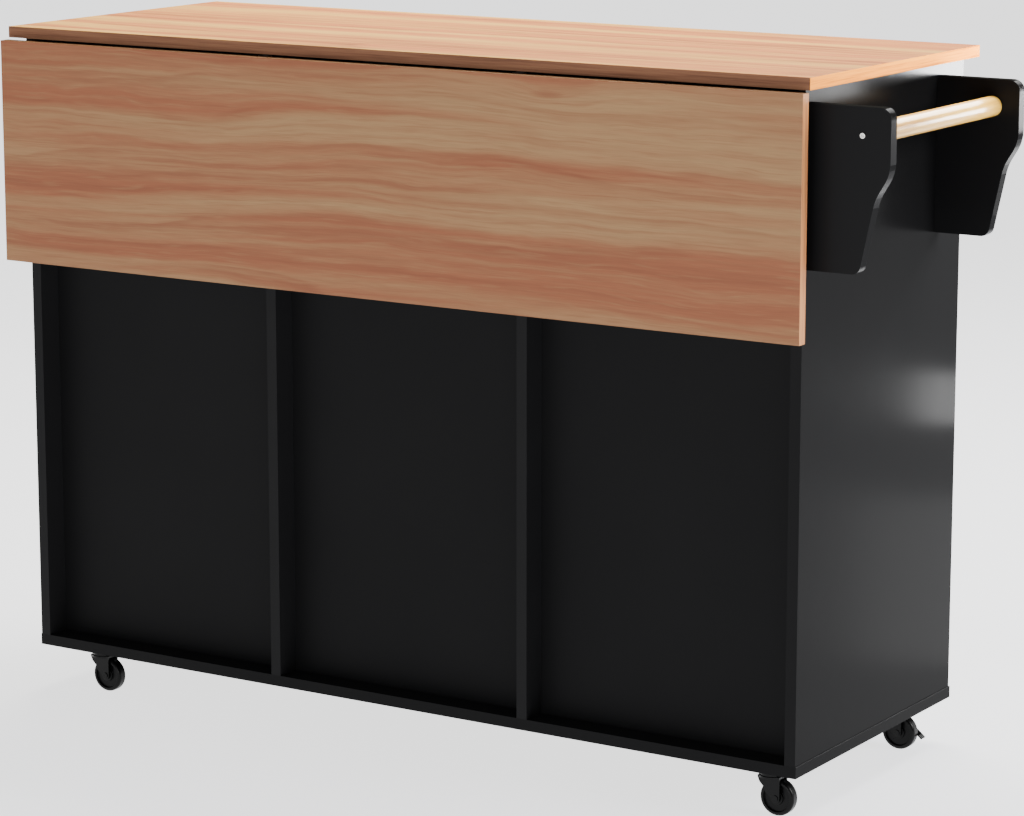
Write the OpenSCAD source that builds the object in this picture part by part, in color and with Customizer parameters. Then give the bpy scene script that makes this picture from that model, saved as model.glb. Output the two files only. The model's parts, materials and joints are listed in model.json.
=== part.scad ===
// Rolling storage table: a worktop with a drop leaf on a cabinet with two cupboards, drawers, a towel
// rack and four casters. Millimetres, standing on the floor, X along the worktop, the leaf on the -Y side.

/* [Worktop and leaf] */
// Length of the worktop and of the leaf
top_l = 1220; // [1180:10:1300]
// Depth of the worktop
top_d = 466; // [440:2:540]
// Thickness of the worktop and of the leaf
top_t = 15; // [15:1:22]
// Depth of the leaf
leaf_d = 300; // [260:5:340]
// Worktop beyond the side boards, at each end
end_overhang = 15; // [10:1:40]
// Worktop beyond the cabinet's front
front_overhang = 15; // [10:1:40]
// Worktop beyond the cabinet's back, where the leaf hangs
leaf_overhang = 18; // [18:1:24]
// Leaf hinge's axis below the worktop's underside
hinge_drop = 2; // [2:0.1:2.6]
// Leaf hinge's axis outside the worktop's edge
hinge_out = 0.5; // [0.4:0.1:1]
// Gap between the worktop's edge and the leaf when it is up
leaf_joint_gap = 1; // [0.5:0.1:1.4]

/* [Cabinet boards] */
// Height of the side boards
side_h = 835; // [780:5:880]
// Thickness of the sides, dividers, bottom, shelves, fronts and towel brackets
board_t = 15; // [15:1:18]
// Clear width of the left cupboard, as seen from the leaf's side
left_bay_w = 382; // [360:2:400]
// Clear width of the drawers' bay
middle_bay_w = 374; // [340:2:390]
// Back panels' distance in from the cabinet's back edges
back_inset = 36; // [30:1:50]
// Thickness of the back panels
back_t = 5; // [3:1:6]
// Depth of the grooves that hold the back panels
groove_d = 5; // [4:1:7]
// Bottom panel beyond the side boards, at each end
bottom_lip = 1; // [0:0.5:3]
// Bottom panel beyond the cabinet's front edges
bottom_front_lip = 2.5; // [0:0.5:4]

/* [Fronts, shelves and drawers] */
// Gap round each door and drawer front
front_gap = 2.5; // [2:0.1:3.5]
// Height of a drawer's side boards
drawer_box_h = 170; // [120:5:220]
// Space between a drawer's back and the back panel
drawer_back_space = 27; // [10:1:80]
// Thickness of a drawer's side and back boards
drawer_side_t = 12; // [10:1:15]
// Thickness of a drawer's bottom
drawer_floor_t = 5; // [3:1:6]
// Space for a runner at each side of a drawer
runner_space = 12.7; // [12:0.1:14]
// Drawer runners' distance in from the drawer's back
runner_back_inset = 12; // [5:1:60]
// Height of the drawer runners
runner_h = 35; // [30:1:45]
// Height of the adjustable shelves above the bottom panel
shelf_height = 400; // [336:16:464]
// Diameter of the shelf pins
shelf_pin_d = 5; // [4:0.5:6]
// Diameter of the knobs
knob_d = 28; // [22:1:34]
// Knobs' distance from the free edge of a door
knob_inset = 35; // [28:1:60]

/* [Leaf supports] */
// Strut's pivot below the leaf hinge's axis
strut_pivot_drop = 125; // [110:1:135]
// Width of the channels, wall legs and arms
channel_w = 14; // [13:0.5:15]
// Thickness of the channels' and hinges' sheet
sheet_t = 1.5; // [1.2:0.1:1.6]
// Thickness of a strut
strut_t = 5; // [3:0.5:6]
// Diameter of the strut's pins
strut_pin_d = 4; // [3:0.5:4]

/* [Towel rack] */
// Height of the brackets
bracket_h = 200; // [160:5:240]
// Reach of the brackets from the side board
bracket_reach = 113; // [95:1:130]
// Top of the brackets below the worktop's underside
bracket_drop = 17; // [5:1:40]
// Length of the rail between the brackets
rail_l = 343; // [300:1:370]
// Diameter of the rail
rail_d = 26; // [20:1:30]
// Rail's axis from the side board
rail_out = 76.5; // [60:0.5:80]
// Rail's axis below the brackets' top
rail_drop = 34; // [28:1:45]

/* [Casters] */
// Height of a caster from the floor to its plate's upper face
caster_h = 60; // [58:1:68]
// Diameter of a wheel
wheel_d = 47; // [42:0.5:48]
// Width of a wheel
wheel_w = 15; // [12:0.5:18]
// Wheel's axle behind the swivel's axis
trail = 10; // [6:1:14]
// Swivel's axis from the cabinet's left end
caster_left_inset = 85; // [50:1:100]
// Swivel's axis from the cabinet's right end
caster_right_inset = 48; // [45:1:100]
// Back casters' swivel axis from the cabinet's back edges
caster_back_inset = 31; // [26:1:60]
// Front casters' swivel axis from the cabinet's front edges
caster_front_inset = 64; // [50:1:80]

/* [Fasteners] */
// Diameter of the wood screws
screw_d = 3; // [2.5:0.5:3.5]
// Length of the wood screws
screw_l = 12; // [10:0.5:13]
// Diameter of the dowels
dowel_d = 8; // [6:1:8]
// Diameter of the cams
cam_d = 15; // [12:1:15]

/* [Hidden] */
$fn = 48;

// Clearances: round a pin that turns, round what is pushed in, and between a moving piece and its seat
run_gap = 0.05;
fit_gap = 0.1;
seat_gap = 0.3;

// Colours
wood = [0.78, 0.58, 0.44];
black = [0.12, 0.12, 0.13];
pine = [0.93, 0.84, 0.68];
nickel = [0.72, 0.72, 0.71];
zinc = [0.55, 0.56, 0.58];
rubber = [0.07, 0.07, 0.08];
plastic = [0.92, 0.92, 0.9];
drawer_board = [0.86, 0.85, 0.82];

// Levels above the floor
deck_z = caster_h + board_t;
under_z = deck_z + side_h;
top_z = under_z + top_t;

// Cabinet, with X from the worktop's middle and Y from the worktop's leaf edge
side_out = top_l / 2 - end_overhang;
side_in = side_out - board_t;
back_y = leaf_overhang;
front_y = top_d - front_overhang;
left_divider_x = -side_in + left_bay_w;
right_divider_x = left_divider_x + board_t + middle_bay_w;
uprights = [
    [-side_out, -side_in],
    [left_divider_x, left_divider_x + board_t],
    [right_divider_x, right_divider_x + board_t],
    [side_in, side_out]];
upright_mid = [for (u = uprights) (u[0] + u[1]) / 2];
divider_mid = [upright_mid[1], upright_mid[2]];
bays = [for (i = [0:2]) [uprights[i][1], uprights[i + 1][0]]];
bay_mid = [for (b = bays) (b[0] + b[1]) / 2];
// The way in which each upright's cupboard lies, and the face on that side
cupboard_way = [1, -1, 1, -1];
cupboard_face = [for (i = [0:3]) uprights[i][cupboard_way[i] > 0 ? 1 : 0]];
back_panel_y = back_y + back_inset;
front_back_y = front_y - board_t;

// Leaf: Y and Z of its hinge's axis, and the gaps that put it level with the worktop when it is up
leaf_axis = [-hinge_out, under_z - hinge_drop];
leaf_face_y = leaf_axis[0] - hinge_drop;
leaf_top_z = leaf_axis[1] + hinge_out - leaf_joint_gap;
leaf_hinge_l = 60;
leaf_hinge_w = 26;
leaf_knuckle_r = hinge_drop - fit_gap;
leaf_pin_r = 1;

// Leaf supports: the strut's pins, its fold behind the hanging leaf, and its seat under the raised leaf
strut_pin_r = strut_pin_d / 2;
strut_r = strut_pin_r + 1.8;
strut_line = sheet_t + strut_r + 2 * fit_gap;
wall_pivot = [back_y - sheet_t - strut_r - 2 * seat_gap, leaf_axis[1] - strut_pivot_drop];
fold_reach = leaf_d - 12;
folded_end = [leaf_face_y + strut_line, leaf_axis[1] - fold_reach];
strut_l = norm(wall_pivot - folded_end);
strut_lean = asin((wall_pivot[0] - folded_end[0]) / strut_l);
seat_rise = strut_pivot_drop + hinge_drop - strut_line;
seat_reach = sqrt(pow(strut_l, 2) - pow(seat_rise, 2)) - (wall_pivot[0] - leaf_axis[0]);
arm_start = 18;
arm_end = fold_reach + strut_r;
arm_web = strut_line + strut_pin_r + 1;
arm_rail = strut_line - strut_pin_r - 2 * fit_gap;
arm_screws = [8, 48, 150, 262];
leg_web_y = leaf_face_y + arm_web + 1;
leg_top = under_z - 3;
leg_foot = wall_pivot[1] - 14;
leg_screws = [24, 78];

// Towel rack
bracket_top = under_z - bracket_drop;
bracket_front_y = back_y + board_t + rail_l;
rail_x = side_out + rail_out;
rail_z = bracket_top - rail_drop;
rail_screw_r = 2;
rail_screw_head = [4, 2];
rail_screw_l = 40;
bracket_screw_r = 2.5;
bracket_screw_l = 45;
// Corners of a bracket: distance from the side board, height above the bracket's foot, radius
bracket_straight = 78;
bracket_waist_in = 19.5;
bracket_waist_drop = 109.5;
bracket_foot_in = 39;
bracket_r = 14;
bracket_shoulder_r = 50;
bracket_waist_r = 60;
bracket_foot_r = 12;
bracket_corners = [
    [0, bracket_h, 0],
    [bracket_reach, bracket_h, bracket_r],
    [bracket_reach, bracket_h - bracket_straight, bracket_shoulder_r],
    [bracket_reach - bracket_waist_in, bracket_h - bracket_waist_drop, bracket_waist_r],
    [bracket_reach - bracket_foot_in, 0, bracket_foot_r],
    [0, 0, 0]];

// Joints between boards
dowel_back_in = 95;
dowel_front_in = 85;
dowel_y = [back_y + dowel_back_in, front_y - dowel_front_in];
cam_back_in = 150;
cam_front_in = 135;
cam_y = [back_y + cam_back_in, front_y - cam_front_in];
dowel_in_panel = 10;
dowel_in_upright = 20;
cam_drop = 34;
cam_deep = 12.4;
cam_cross = [5.5, 1.2, 1];
bolt_r = 2.4;
bolt_head_r = 3.2;
bottom_screw_r = [5, 3.4, 2.4];
bottom_screw_l = [4, 11, 35];

// Shelves on pins, with a row of holes for each pin
pin_in = 9;
pin_out = 9;
pin_pitch = 32;
pin_y = [back_panel_y + 60, front_back_y - 60];
pin_z = deck_z + shelf_height;
shelf_gap = 1;
shelf_setback = 8;

// Doors: hinges, catches and knobs
door_hinge_l = 50;
door_hinge_w = 22;
door_hinge_t = (front_gap - seat_gap) / 2;
door_pin_r = 1.25;
door_knuckle_r = 2.2;
door_axis = [side_in - front_gap / 2, front_y + 1.9];
door_z = [deck_z + front_gap, under_z - front_gap];
door_hinge_z = [door_z[0] + 90, door_z[1] - 90];
catch_size = [14, 26, 44];
strike = [14, 1.2, 36];
catch_y = front_back_y - strike[1] - seat_gap - catch_size[1] / 2;
catch_z = under_z - 60;
catch_peg_r = 4;
catch_peg_in = 10;
knob_l = 24;
knob_screw_r = 2;
knob_screw_head = [4, 2];
knob_z = deck_z + 0.62 * side_h;

// Drawers, the first on top
drawer_count = 3;
front_h = (side_h - (drawer_count + 1) * front_gap) / drawer_count;
drawer_x = [bays[1][0] + runner_space, bays[1][1] - runner_space];
drawer_back_y = back_panel_y + back_t + drawer_back_space;
drawer_rise = 25;
drawer_floor_rise = 8;
runner_t = 1.2;
runner_lip = 0.75;
runner_front_inset = 8;
runner_y = [drawer_back_y + runner_back_inset, front_back_y - runner_front_inset];
runner_screw_in = 40;
runner_screw_y = [runner_y[0] + runner_screw_in, runner_y[1] - runner_screw_in];
drawer_dowel_r = 3;
drawer_dowel_in = [20, 8];
drawer_dowel_z = [35, 135];

// Casters
wheel_r = wheel_d / 2;
wheel_shoulder = 4;
wheel_dish = [9, 18, 3];
axle_r = 2.5;
axle_head = [4, 1.2];
fork_t = 2;
fork_in = wheel_w / 2 + 1.1;
fork_out = fork_in + fork_t;
fork_lead = 14.7;
fork_eye_r = 6;
crown_z = wheel_d + 1.5;
crown_t = 2.5;
crown_r = 16.5;
race_r = 15;
plate_t = 2.5;
plate_size = [50, 42];
plate_screw_inset = 6;
king_r = 4;
king_head = [6, 2];
caster_x = [-side_out + caster_left_inset, side_out - caster_right_inset];
caster_y = [back_y + caster_back_inset, front_y - caster_front_inset];
// Brake lever: an arm on a rivet outside the fork's front leg, with a pedal that bends in over the tyre
brake_pin = [trail, wheel_r] + [2.5, 11];
brake_pin_r = 2;
brake_pin_head = [3.6, 1];
brake_end_r = 4.5;
brake_y = [fork_out + 0.4, fork_out + 2.4];
pedal_y = 2.5;

// The origin lies on the floor, under the middle of the whole table's box
box_x = [-top_l / 2, side_out + bracket_reach];
box_y = [leaf_face_y - top_t, front_y + knob_l];
origin = [(box_x[0] + box_x[1]) / 2, (box_y[0] + box_y[1]) / 2, 0];

// Basic shapes: a box and rods between two limits, which may come in either order
module slab(x, y, z)
    translate([min(x), min(y), min(z)]) cube([abs(x[1] - x[0]), abs(y[1] - y[0]), abs(z[1] - z[0])]);
module rod_x(x, y, z, r) translate([min(x), y, z]) rotate([0, 90, 0]) cylinder(h = abs(x[1] - x[0]), r = r);
module rod_y(x, y, z, r) translate([x, max(y), z]) rotate([90, 0, 0]) cylinder(h = abs(y[1] - y[0]), r = r);
module rod_z(x, y, z, r) translate([x, y, min(z)]) cylinder(h = abs(z[1] - z[0]), r = r);
module plate_xz(y, points)
    translate([0, max(y), 0]) rotate([90, 0, 0]) linear_extrude(abs(y[1] - y[0])) polygon(points);

// Limits of a size about its middle
function around(mid, size) = [mid - size / 2, mid + size / 2];

// Shows its child on the right, or mirrored on the left
module on_side(way) if (way > 0) children(); else mirror([1, 0, 0]) children();

// Countersunk screw, its head's face at the origin and looking up; clear widens it into its hole
module countersunk(r, length, clear = 0) {
    translate([0, 0, -r]) cylinder(h = r, r1 = r + clear, r2 = 2 * r + clear);
    translate([0, 0, -length - clear]) cylinder(h = length + clear - r, r = r + clear);
}

// A wood screw, or its hole, at each place
module wood_screws_at(places, turn, clear = 0)
    for (p = places) translate(p) rotate(turn) countersunk(screw_d / 2, screw_l, clear);

// Turns for the way in which a screw's head looks
face_down = [180, 0, 0];
face_back = [90, 0, 0];
face_left = [0, -90, 0];
face_right = [0, 90, 0];

// Outline whose corners, given as [x, y, radius], are rounded with arcs
arc_steps = 8;
function unit(v) = v / norm(v);
function corner_arc(a, b, c) =
    let (
        p = [b[0], b[1]],
        u = unit([a[0], a[1]] - p),
        v = unit([c[0], c[1]] - p),
        half = acos(u * v) / 2,
        centre = p + unit(u + v) * b[2] / sin(half),
        start = p + u * b[2] / tan(half) - centre,
        way = u[0] * v[1] - u[1] * v[0] > 0 ? -1 : 1)
    b[2] == 0 ? [p] : [for (i = [0:arc_steps])
        let (t = way * (180 - 2 * half) * i / arc_steps)
        centre + [start[0] * cos(t) - start[1] * sin(t), start[0] * sin(t) + start[1] * cos(t)]];
function rounded(corners) = let (n = len(corners)) [for (i = [0:n - 1])
    each corner_arc(corners[(i + n - 1) % n], corners[i], corners[(i + 1) % n])];

// Worktop and the cabinet's boards

module worktop() color(wood) difference() {
    slab([-top_l / 2, top_l / 2], [0, top_d], [under_z, top_z]);
    hole_top = under_z + dowel_in_panel + fit_gap;
    for (m = upright_mid) {
        for (y = dowel_y) rod_z(m, y, [under_z - 1, hole_top], dowel_d / 2 + fit_gap);
        for (y = cam_y) rod_z(m, y, [under_z - 1, hole_top], bolt_r + fit_gap);
    }
}

module bottom_panel() color(black) difference() {
    slab(around(0, 2 * (side_out + bottom_lip)), [back_y, front_y + bottom_front_lip], [caster_h, deck_z]);
    slab([-side_in - groove_d, side_in + groove_d], groove_y(), [deck_z - groove_d, deck_z + 1]);
    for (m = upright_mid) {
        for (y = dowel_y) rod_z(m, y, [deck_z - dowel_in_panel - fit_gap, deck_z + 1], dowel_d / 2 + fit_gap);
        for (y = cam_y) translate([m, y, caster_h]) bottom_screw(fit_gap);
    }
}

function groove_y() = [back_panel_y - fit_gap, back_panel_y + back_t + fit_gap];

// Large screw up through the bottom panel, its head's face at the origin and looking down
module bottom_screw(clear = 0) {
    neck = [bottom_screw_l[0], bottom_screw_l[0] + bottom_screw_l[1] + clear];
    cylinder(h = neck[0], r1 = bottom_screw_r[0] + clear, r2 = bottom_screw_r[1] + clear);
    rod_z(0, 0, neck, bottom_screw_r[1] + clear);
    rod_z(0, 0, [neck[1], neck[1] + bottom_screw_l[2]], bottom_screw_r[2] + clear);
}

module upright(i) {
    m = upright_mid[i];
    face = cupboard_face[i];
    way = cupboard_way[i];
    difference() {
        slab(uprights[i], [back_y, front_y], [deck_z, under_z]);
        for (end = [0, 1]) if (i != 3 * end)
            slab(around(uprights[i][end], 2 * groove_d), groove_y(), [deck_z - 1, under_z + 1]);
        for (y = dowel_y) {
            rod_z(m, y, [deck_z - 1, deck_z + dowel_in_upright + fit_gap], dowel_d / 2 + fit_gap);
            rod_z(m, y, [under_z - dowel_in_upright - fit_gap, under_z + 1], dowel_d / 2 + fit_gap);
        }
        for (y = cam_y) {
            translate([m, y, caster_h]) bottom_screw(fit_gap);
            rod_z(m, y, [under_z - cam_drop, under_z + 1], bolt_head_r + 2 * fit_gap);
            rod_x([face + way, face - way * (cam_deep + fit_gap)], y, under_z - cam_drop, cam_d / 2);
        }
        if (i == 1 || i == 2) catch_peg(i, fit_gap);
        for (y = pin_y, k = [-1:1])
            rod_x([face + way, face - way * (pin_in + fit_gap)], y, pin_z + k * pin_pitch - shelf_pin_d / 2,
                shelf_pin_d / 2 + fit_gap);
    }
}

module left_side() color(black) upright(0);
module left_divider() color(black) upright(1);
module right_divider() color(black) upright(2);
module right_side() color(black) difference() {
    upright(3);
    bracket_screws(fit_gap);
}

module back_panels() color(black) for (bay = bays)
    slab([bay[0] - groove_d + fit_gap, bay[1] + groove_d - fit_gap], [back_panel_y, back_panel_y + back_t],
        [deck_z - groove_d + fit_gap, under_z - fit_gap]);

// Shelves, one in each cupboard

module shelves() color(black) for (bay = [bays[0], bays[2]])
    slab([bay[0] + shelf_gap, bay[1] - shelf_gap],
        [back_panel_y + back_t + shelf_gap, front_back_y - shelf_setback],
        [pin_z + fit_gap, pin_z + fit_gap + board_t]);

module shelf_pins() color(nickel) for (i = [0:3], y = pin_y) {
    face = cupboard_face[i];
    way = cupboard_way[i];
    z = pin_z - shelf_pin_d / 2;
    rod_x([face - way * pin_in, face + way * pin_out], y, z, shelf_pin_d / 2);
    rod_x([face, face + way * (shelf_gap - fit_gap)], y, z, shelf_pin_d / 2 + 1);
}

// Fittings between the boards

module panel_dowels() color(pine) for (m = upright_mid, y = dowel_y) {
    rod_z(m, y, [deck_z - dowel_in_panel, deck_z + dowel_in_upright], dowel_d / 2);
    rod_z(m, y, [under_z - dowel_in_upright, under_z + dowel_in_panel], dowel_d / 2);
}

module cam_fittings() color(zinc) for (i = [0:3], y = cam_y) {
    z = under_z - cam_drop;
    translate([cupboard_face[i], y, z]) on_side(cupboard_way[i]) cam();
    rod_z(upright_mid[i], y, [z + bolt_head_r, under_z + dowel_in_panel], bolt_r);
    rod_z(upright_mid[i], y, [z, z + bolt_head_r], bolt_head_r);
}

// Cam that looks along X, with a mouth above for its bolt's head and a cross recess in its face
module cam() {
    mouth = bolt_head_r + 2 * fit_gap;
    mouth_x = -board_t / 2 + mouth;
    difference() {
        rod_x([-cam_deep, 0], 0, 0, cam_d / 2 - fit_gap);
        slab([-cam_deep - 1, mouth_x], [-mouth, mouth], [-fit_gap, cam_d]);
        slab([-cam_cross[2], 1], around(0, cam_cross[0]), around(0, cam_cross[1]));
        slab([-cam_cross[2], 1], around(0, cam_cross[1]), around(0, cam_cross[0]));
    }
}

module bottom_screws() color(zinc)
    for (m = upright_mid, y = cam_y) translate([m, y, caster_h]) bottom_screw();

// Towel rack

module towel_bracket(y) color(black) difference() {
    translate([side_out, 0, bracket_top - bracket_h]) plate_xz([y, y + board_t], rounded(bracket_corners));
    rod_y(rail_x, [y - 1, y + board_t + 1], rail_z, rail_screw_r + fit_gap);
    bracket_screws(fit_gap);
}

// Screws from the cupboard through the side board into the brackets
module bracket_screws(clear = 0)
    for (y = [back_y, bracket_front_y], z = [bracket_top - 0.28 * bracket_h, bracket_top - 0.8 * bracket_h])
        translate([side_in, y + board_t / 2, z]) rotate(face_left)
            countersunk(bracket_screw_r, bracket_screw_l, clear);

module towel_rail() color(pine) difference() {
    ends = [back_y + board_t, bracket_front_y];
    depth = rail_screw_l - board_t + fit_gap;
    rod_y(rail_x, ends, rail_z, rail_d / 2);
    rod_y(rail_x, [ends[0] - 1, ends[0] + depth], rail_z, rail_screw_r + fit_gap);
    rod_y(rail_x, [ends[1] - depth, ends[1] + 1], rail_z, rail_screw_r + fit_gap);
}

module towel_screws() color(nickel) {
    faces = [back_y, bracket_front_y + board_t];
    for (end = [0, 1]) {
        in = 1 - 2 * end;
        rod_y(rail_x, [faces[end], faces[end] + in * rail_screw_l], rail_z, rail_screw_r);
        rod_y(rail_x, [faces[end] - in * rail_screw_head[1], faces[end]], rail_z, rail_screw_head[0]);
    }
    bracket_screws();
}

// Leaf and its hinges, one in the middle of each bay

module leaf_panel() color(wood)
    slab([-top_l / 2, top_l / 2], [leaf_face_y - top_t, leaf_face_y], [leaf_top_z - leaf_d, leaf_top_z]);

// Limits of the knuckles of one half of a hinge: the outer two of three, or the middle one
function knuckles(length, outer) = outer
    ? [[-length / 2, -length / 6 - fit_gap], [length / 6 + fit_gap, length / 2]]
    : [[-length / 6 + fit_gap, length / 6 - fit_gap]];

// Puts what is drawn under the worktop, from the hinge's axis on, on the hanging leaf's inner face
module on_leaf() translate([0, leaf_axis[0], leaf_axis[1]]) mirror([0, 1, 1])
    translate([0, -leaf_axis[0], -leaf_axis[1]]) children();

module leaf_hinge_half(x, outer) {
    y = leaf_axis[0];
    plate_y = y + leaf_knuckle_r + 2 * fit_gap;
    difference() {
        union() {
            slab(around(x, leaf_hinge_l), [plate_y, y + leaf_hinge_w], [under_z - sheet_t, under_z]);
            for (k = knuckles(leaf_hinge_l, outer)) {
                rod_x([x + k[0], x + k[1]], y, leaf_axis[1], leaf_knuckle_r);
                slab([x + k[0], x + k[1]], [y, plate_y], [under_z - sheet_t, under_z]);
            }
        }
        rod_x([x - leaf_hinge_l, x + leaf_hinge_l], y, leaf_axis[1], leaf_pin_r + run_gap);
        wood_screws_at(leaf_hinge_screws(x), face_down, fit_gap);
    }
}

function leaf_hinge_screws(x) = [for (k = [-1, 1])
    [x + k * leaf_hinge_l / 3, leaf_axis[0] + 0.62 * leaf_hinge_w, under_z - sheet_t]];

module leaf_hinge_plates() color(zinc) for (x = bay_mid) leaf_hinge_half(x, true);
module leaf_hinge_leaves() color(zinc) on_leaf() for (x = bay_mid) leaf_hinge_half(x, false);

module hinge_pins() color(zinc) {
    for (x = bay_mid) rod_x(around(x, leaf_hinge_l), leaf_axis[0], leaf_axis[1], leaf_pin_r);
    for (way = [-1, 1], z = door_hinge_z)
        rod_z(way * door_axis[0], door_axis[1], around(z, door_hinge_l), door_pin_r);
    for (x = divider_mid) rod_x(around(x, channel_w), wall_pivot[0], wall_pivot[1], strut_pin_r);
}

// Leaf supports: a channel on each divider's back edge, a channel on the leaf, and a strut in both

module webs(x, y, z) for (way = [-1, 1])
    slab([x + way * channel_w / 2, x + way * (channel_w / 2 - sheet_t)], y, z);

module support_wall_legs() color(zinc) for (x = divider_mid) difference() {
    union() {
        slab(around(x, channel_w), [back_y - sheet_t, back_y], [leg_foot, leg_top]);
        webs(x, [leg_web_y, back_y], [leg_foot, leg_top]);
    }
    rod_x([x - channel_w, x + channel_w], wall_pivot[0], wall_pivot[1], strut_pin_r + run_gap);
    wood_screws_at(leg_screw_places(x), face_back, fit_gap);
}

function leg_screw_places(x) = [for (drop = leg_screws) [x, back_y - sheet_t, leg_top - drop]];

module support_arms() color(zinc) on_leaf() for (x = divider_mid) {
    y = leaf_axis[0];
    stop = y + seat_reach - strut_pin_r - seat_gap;
    difference() {
        union() {
            slab(around(x, channel_w), [y + arm_start, y + arm_end], [under_z - sheet_t, under_z]);
            webs(x, [y + arm_start, stop], [under_z - arm_web, under_z]);
            webs(x, [stop, y + arm_end], [under_z - arm_rail, under_z]);
        }
        wood_screws_at(arm_screw_places(x), face_down, fit_gap);
    }
}

function arm_screw_places(x) = [for (s = arm_screws) [x, leaf_axis[0] + arm_start + s, under_z - sheet_t]];

module strut(x) color(nickel) translate([x, wall_pivot[0], wall_pivot[1]]) rotate([-strut_lean, 0, 0]) {
    difference() {
        union() {
            slab([-strut_t / 2, strut_t / 2], [-strut_r, strut_r], [-strut_l, 0]);
            for (z = [0, -strut_l]) rod_x([-strut_t / 2, strut_t / 2], 0, z, strut_r);
        }
        for (z = [0, -strut_l]) rod_x([-strut_t, strut_t], 0, z, strut_pin_r + run_gap);
    }
    rod_x([-channel_w / 2, channel_w / 2], 0, -strut_l, strut_pin_r);
}

module leaf_screws() color(zinc) on_leaf() {
    for (x = bay_mid) wood_screws_at(leaf_hinge_screws(x), face_down);
    for (x = divider_mid) wood_screws_at(arm_screw_places(x), face_down);
}

// Doors: the right one's hinges are on the right side board, the left one's on the left

function door_bay(way) = way > 0 ? bays[2] : bays[0];
function door_free(way) = way > 0 ? bays[2][0] : bays[0][1];
function door_knob_x(way) = door_free(way) + way * (front_gap + knob_inset);

module door_panel(way) color(black) difference() {
    slab([door_bay(way)[0] + front_gap, door_bay(way)[1] - front_gap], [front_back_y, front_y], door_z);
    knob_hole(door_knob_x(way), knob_z);
}

module knob_hole(x, z) rod_y(x, [front_back_y - 1, front_y + 1], z, knob_screw_r + fit_gap);

// One half of the right door's hinge, the side board's or the door's
module door_hinge_half(z, on_door) {
    plate_y = door_axis[1] - door_knuckle_r - 2 * fit_gap;
    face = on_door ? side_in - front_gap : side_in;
    x = [face, on_door ? face + door_hinge_t : face - door_hinge_t];
    difference() {
        union() {
            slab(x, [plate_y - door_hinge_w, plate_y], around(z, door_hinge_l));
            for (k = knuckles(door_hinge_l, !on_door)) {
                rod_z(door_axis[0], door_axis[1], [z + k[0], z + k[1]], door_knuckle_r);
                slab(x, [plate_y, door_axis[1]], [z + k[0], z + k[1]]);
            }
        }
        rod_z(door_axis[0], door_axis[1], [z - door_hinge_l, z + door_hinge_l], door_pin_r + run_gap);
        door_hinge_screws(z, on_door, fit_gap);
    }
}

module door_hinge_screws(z, on_door, clear = 0) {
    x = on_door ? side_in - front_gap + door_hinge_t : side_in - door_hinge_t;
    places = [for (k = [-1, 1]) [x, front_y - 0.55 * door_hinge_w, z + k * door_hinge_l / 3]];
    wood_screws_at(places, on_door ? face_right : face_left, clear);
}

module door_hinge_plates() color(nickel) for (way = [-1, 1]) on_side(way)
    for (z = door_hinge_z) door_hinge_half(z, false);

module door_metalwork(way) color(nickel) {
    on_side(way) for (z = door_hinge_z) {
        door_hinge_half(z, true);
        door_hinge_screws(z, true);
    }
    x = door_free(way) + way * (front_gap + 1);
    slab([x, x + way * strike[0]], [front_back_y - strike[1], front_back_y], around(catch_z, strike[2]));
}

module door_catches() color(plastic) for (i = [1, 2]) {
    face = cupboard_face[i];
    slab([face, face + cupboard_way[i] * catch_size[0]], around(catch_y, catch_size[1]),
        around(catch_z, catch_size[2]));
    catch_peg(i);
}

// Ribbed peg that holds a catch in its divider
module catch_peg(i, clear = 0) {
    face = cupboard_face[i];
    rod_x([face, face - cupboard_way[i] * (catch_peg_in + clear)], catch_y, catch_z, catch_peg_r + clear);
}

// Knob with the screw that holds it, through a front that it stands on
module knob(x, z) color(nickel) {
    k = knob_d / 28;
    profile = [[0, 0], [9, 0], [9, 2], [6, 4], [5.5, 12], [8, 16], [14, 18.5], [14, 21], [11, 23.4],
        [0, knob_l]];
    thread = knob_l / 2;
    translate([x, front_y, z]) rotate([-90, 0, 0]) difference() {
        rotate_extrude() polygon([for (p = profile) [k * p[0], p[1]]]);
        translate([0, 0, -1]) cylinder(h = thread + 1, r = knob_screw_r + fit_gap);
    }
    rod_y(x, [front_back_y, front_y + thread - fit_gap], z, knob_screw_r);
    rod_y(x, [front_back_y - knob_screw_head[1], front_back_y], z, knob_screw_head[0]);
}

// Drawers

function drawer_z(n) = deck_z + front_gap + (drawer_count - n) * (front_h + front_gap);
function box_z(n) = drawer_z(n) + drawer_rise;
function runner_mid_z(n) = box_z(n) + drawer_box_h / 2;

module drawer_front(n) color(black) difference() {
    slab(around(bay_mid[1], middle_bay_w - 2 * front_gap), [front_back_y, front_y],
        [drawer_z(n), drawer_z(n) + front_h]);
    knob_hole(bay_mid[1], drawer_z(n) + front_h / 2);
    drawer_dowels(n, fit_gap);
}

// Dowels between the front and the box's sides
module drawer_dowels(n, clear = 0) for (end = [0, 1], z = drawer_dowel_z)
    rod_y(drawer_x[end] + (1 - 2 * end) * drawer_side_t / 2,
        [front_back_y - drawer_dowel_in[0] - clear, front_back_y + drawer_dowel_in[1] + clear],
        box_z(n) + z / 170 * drawer_box_h, drawer_dowel_r + clear);

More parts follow.
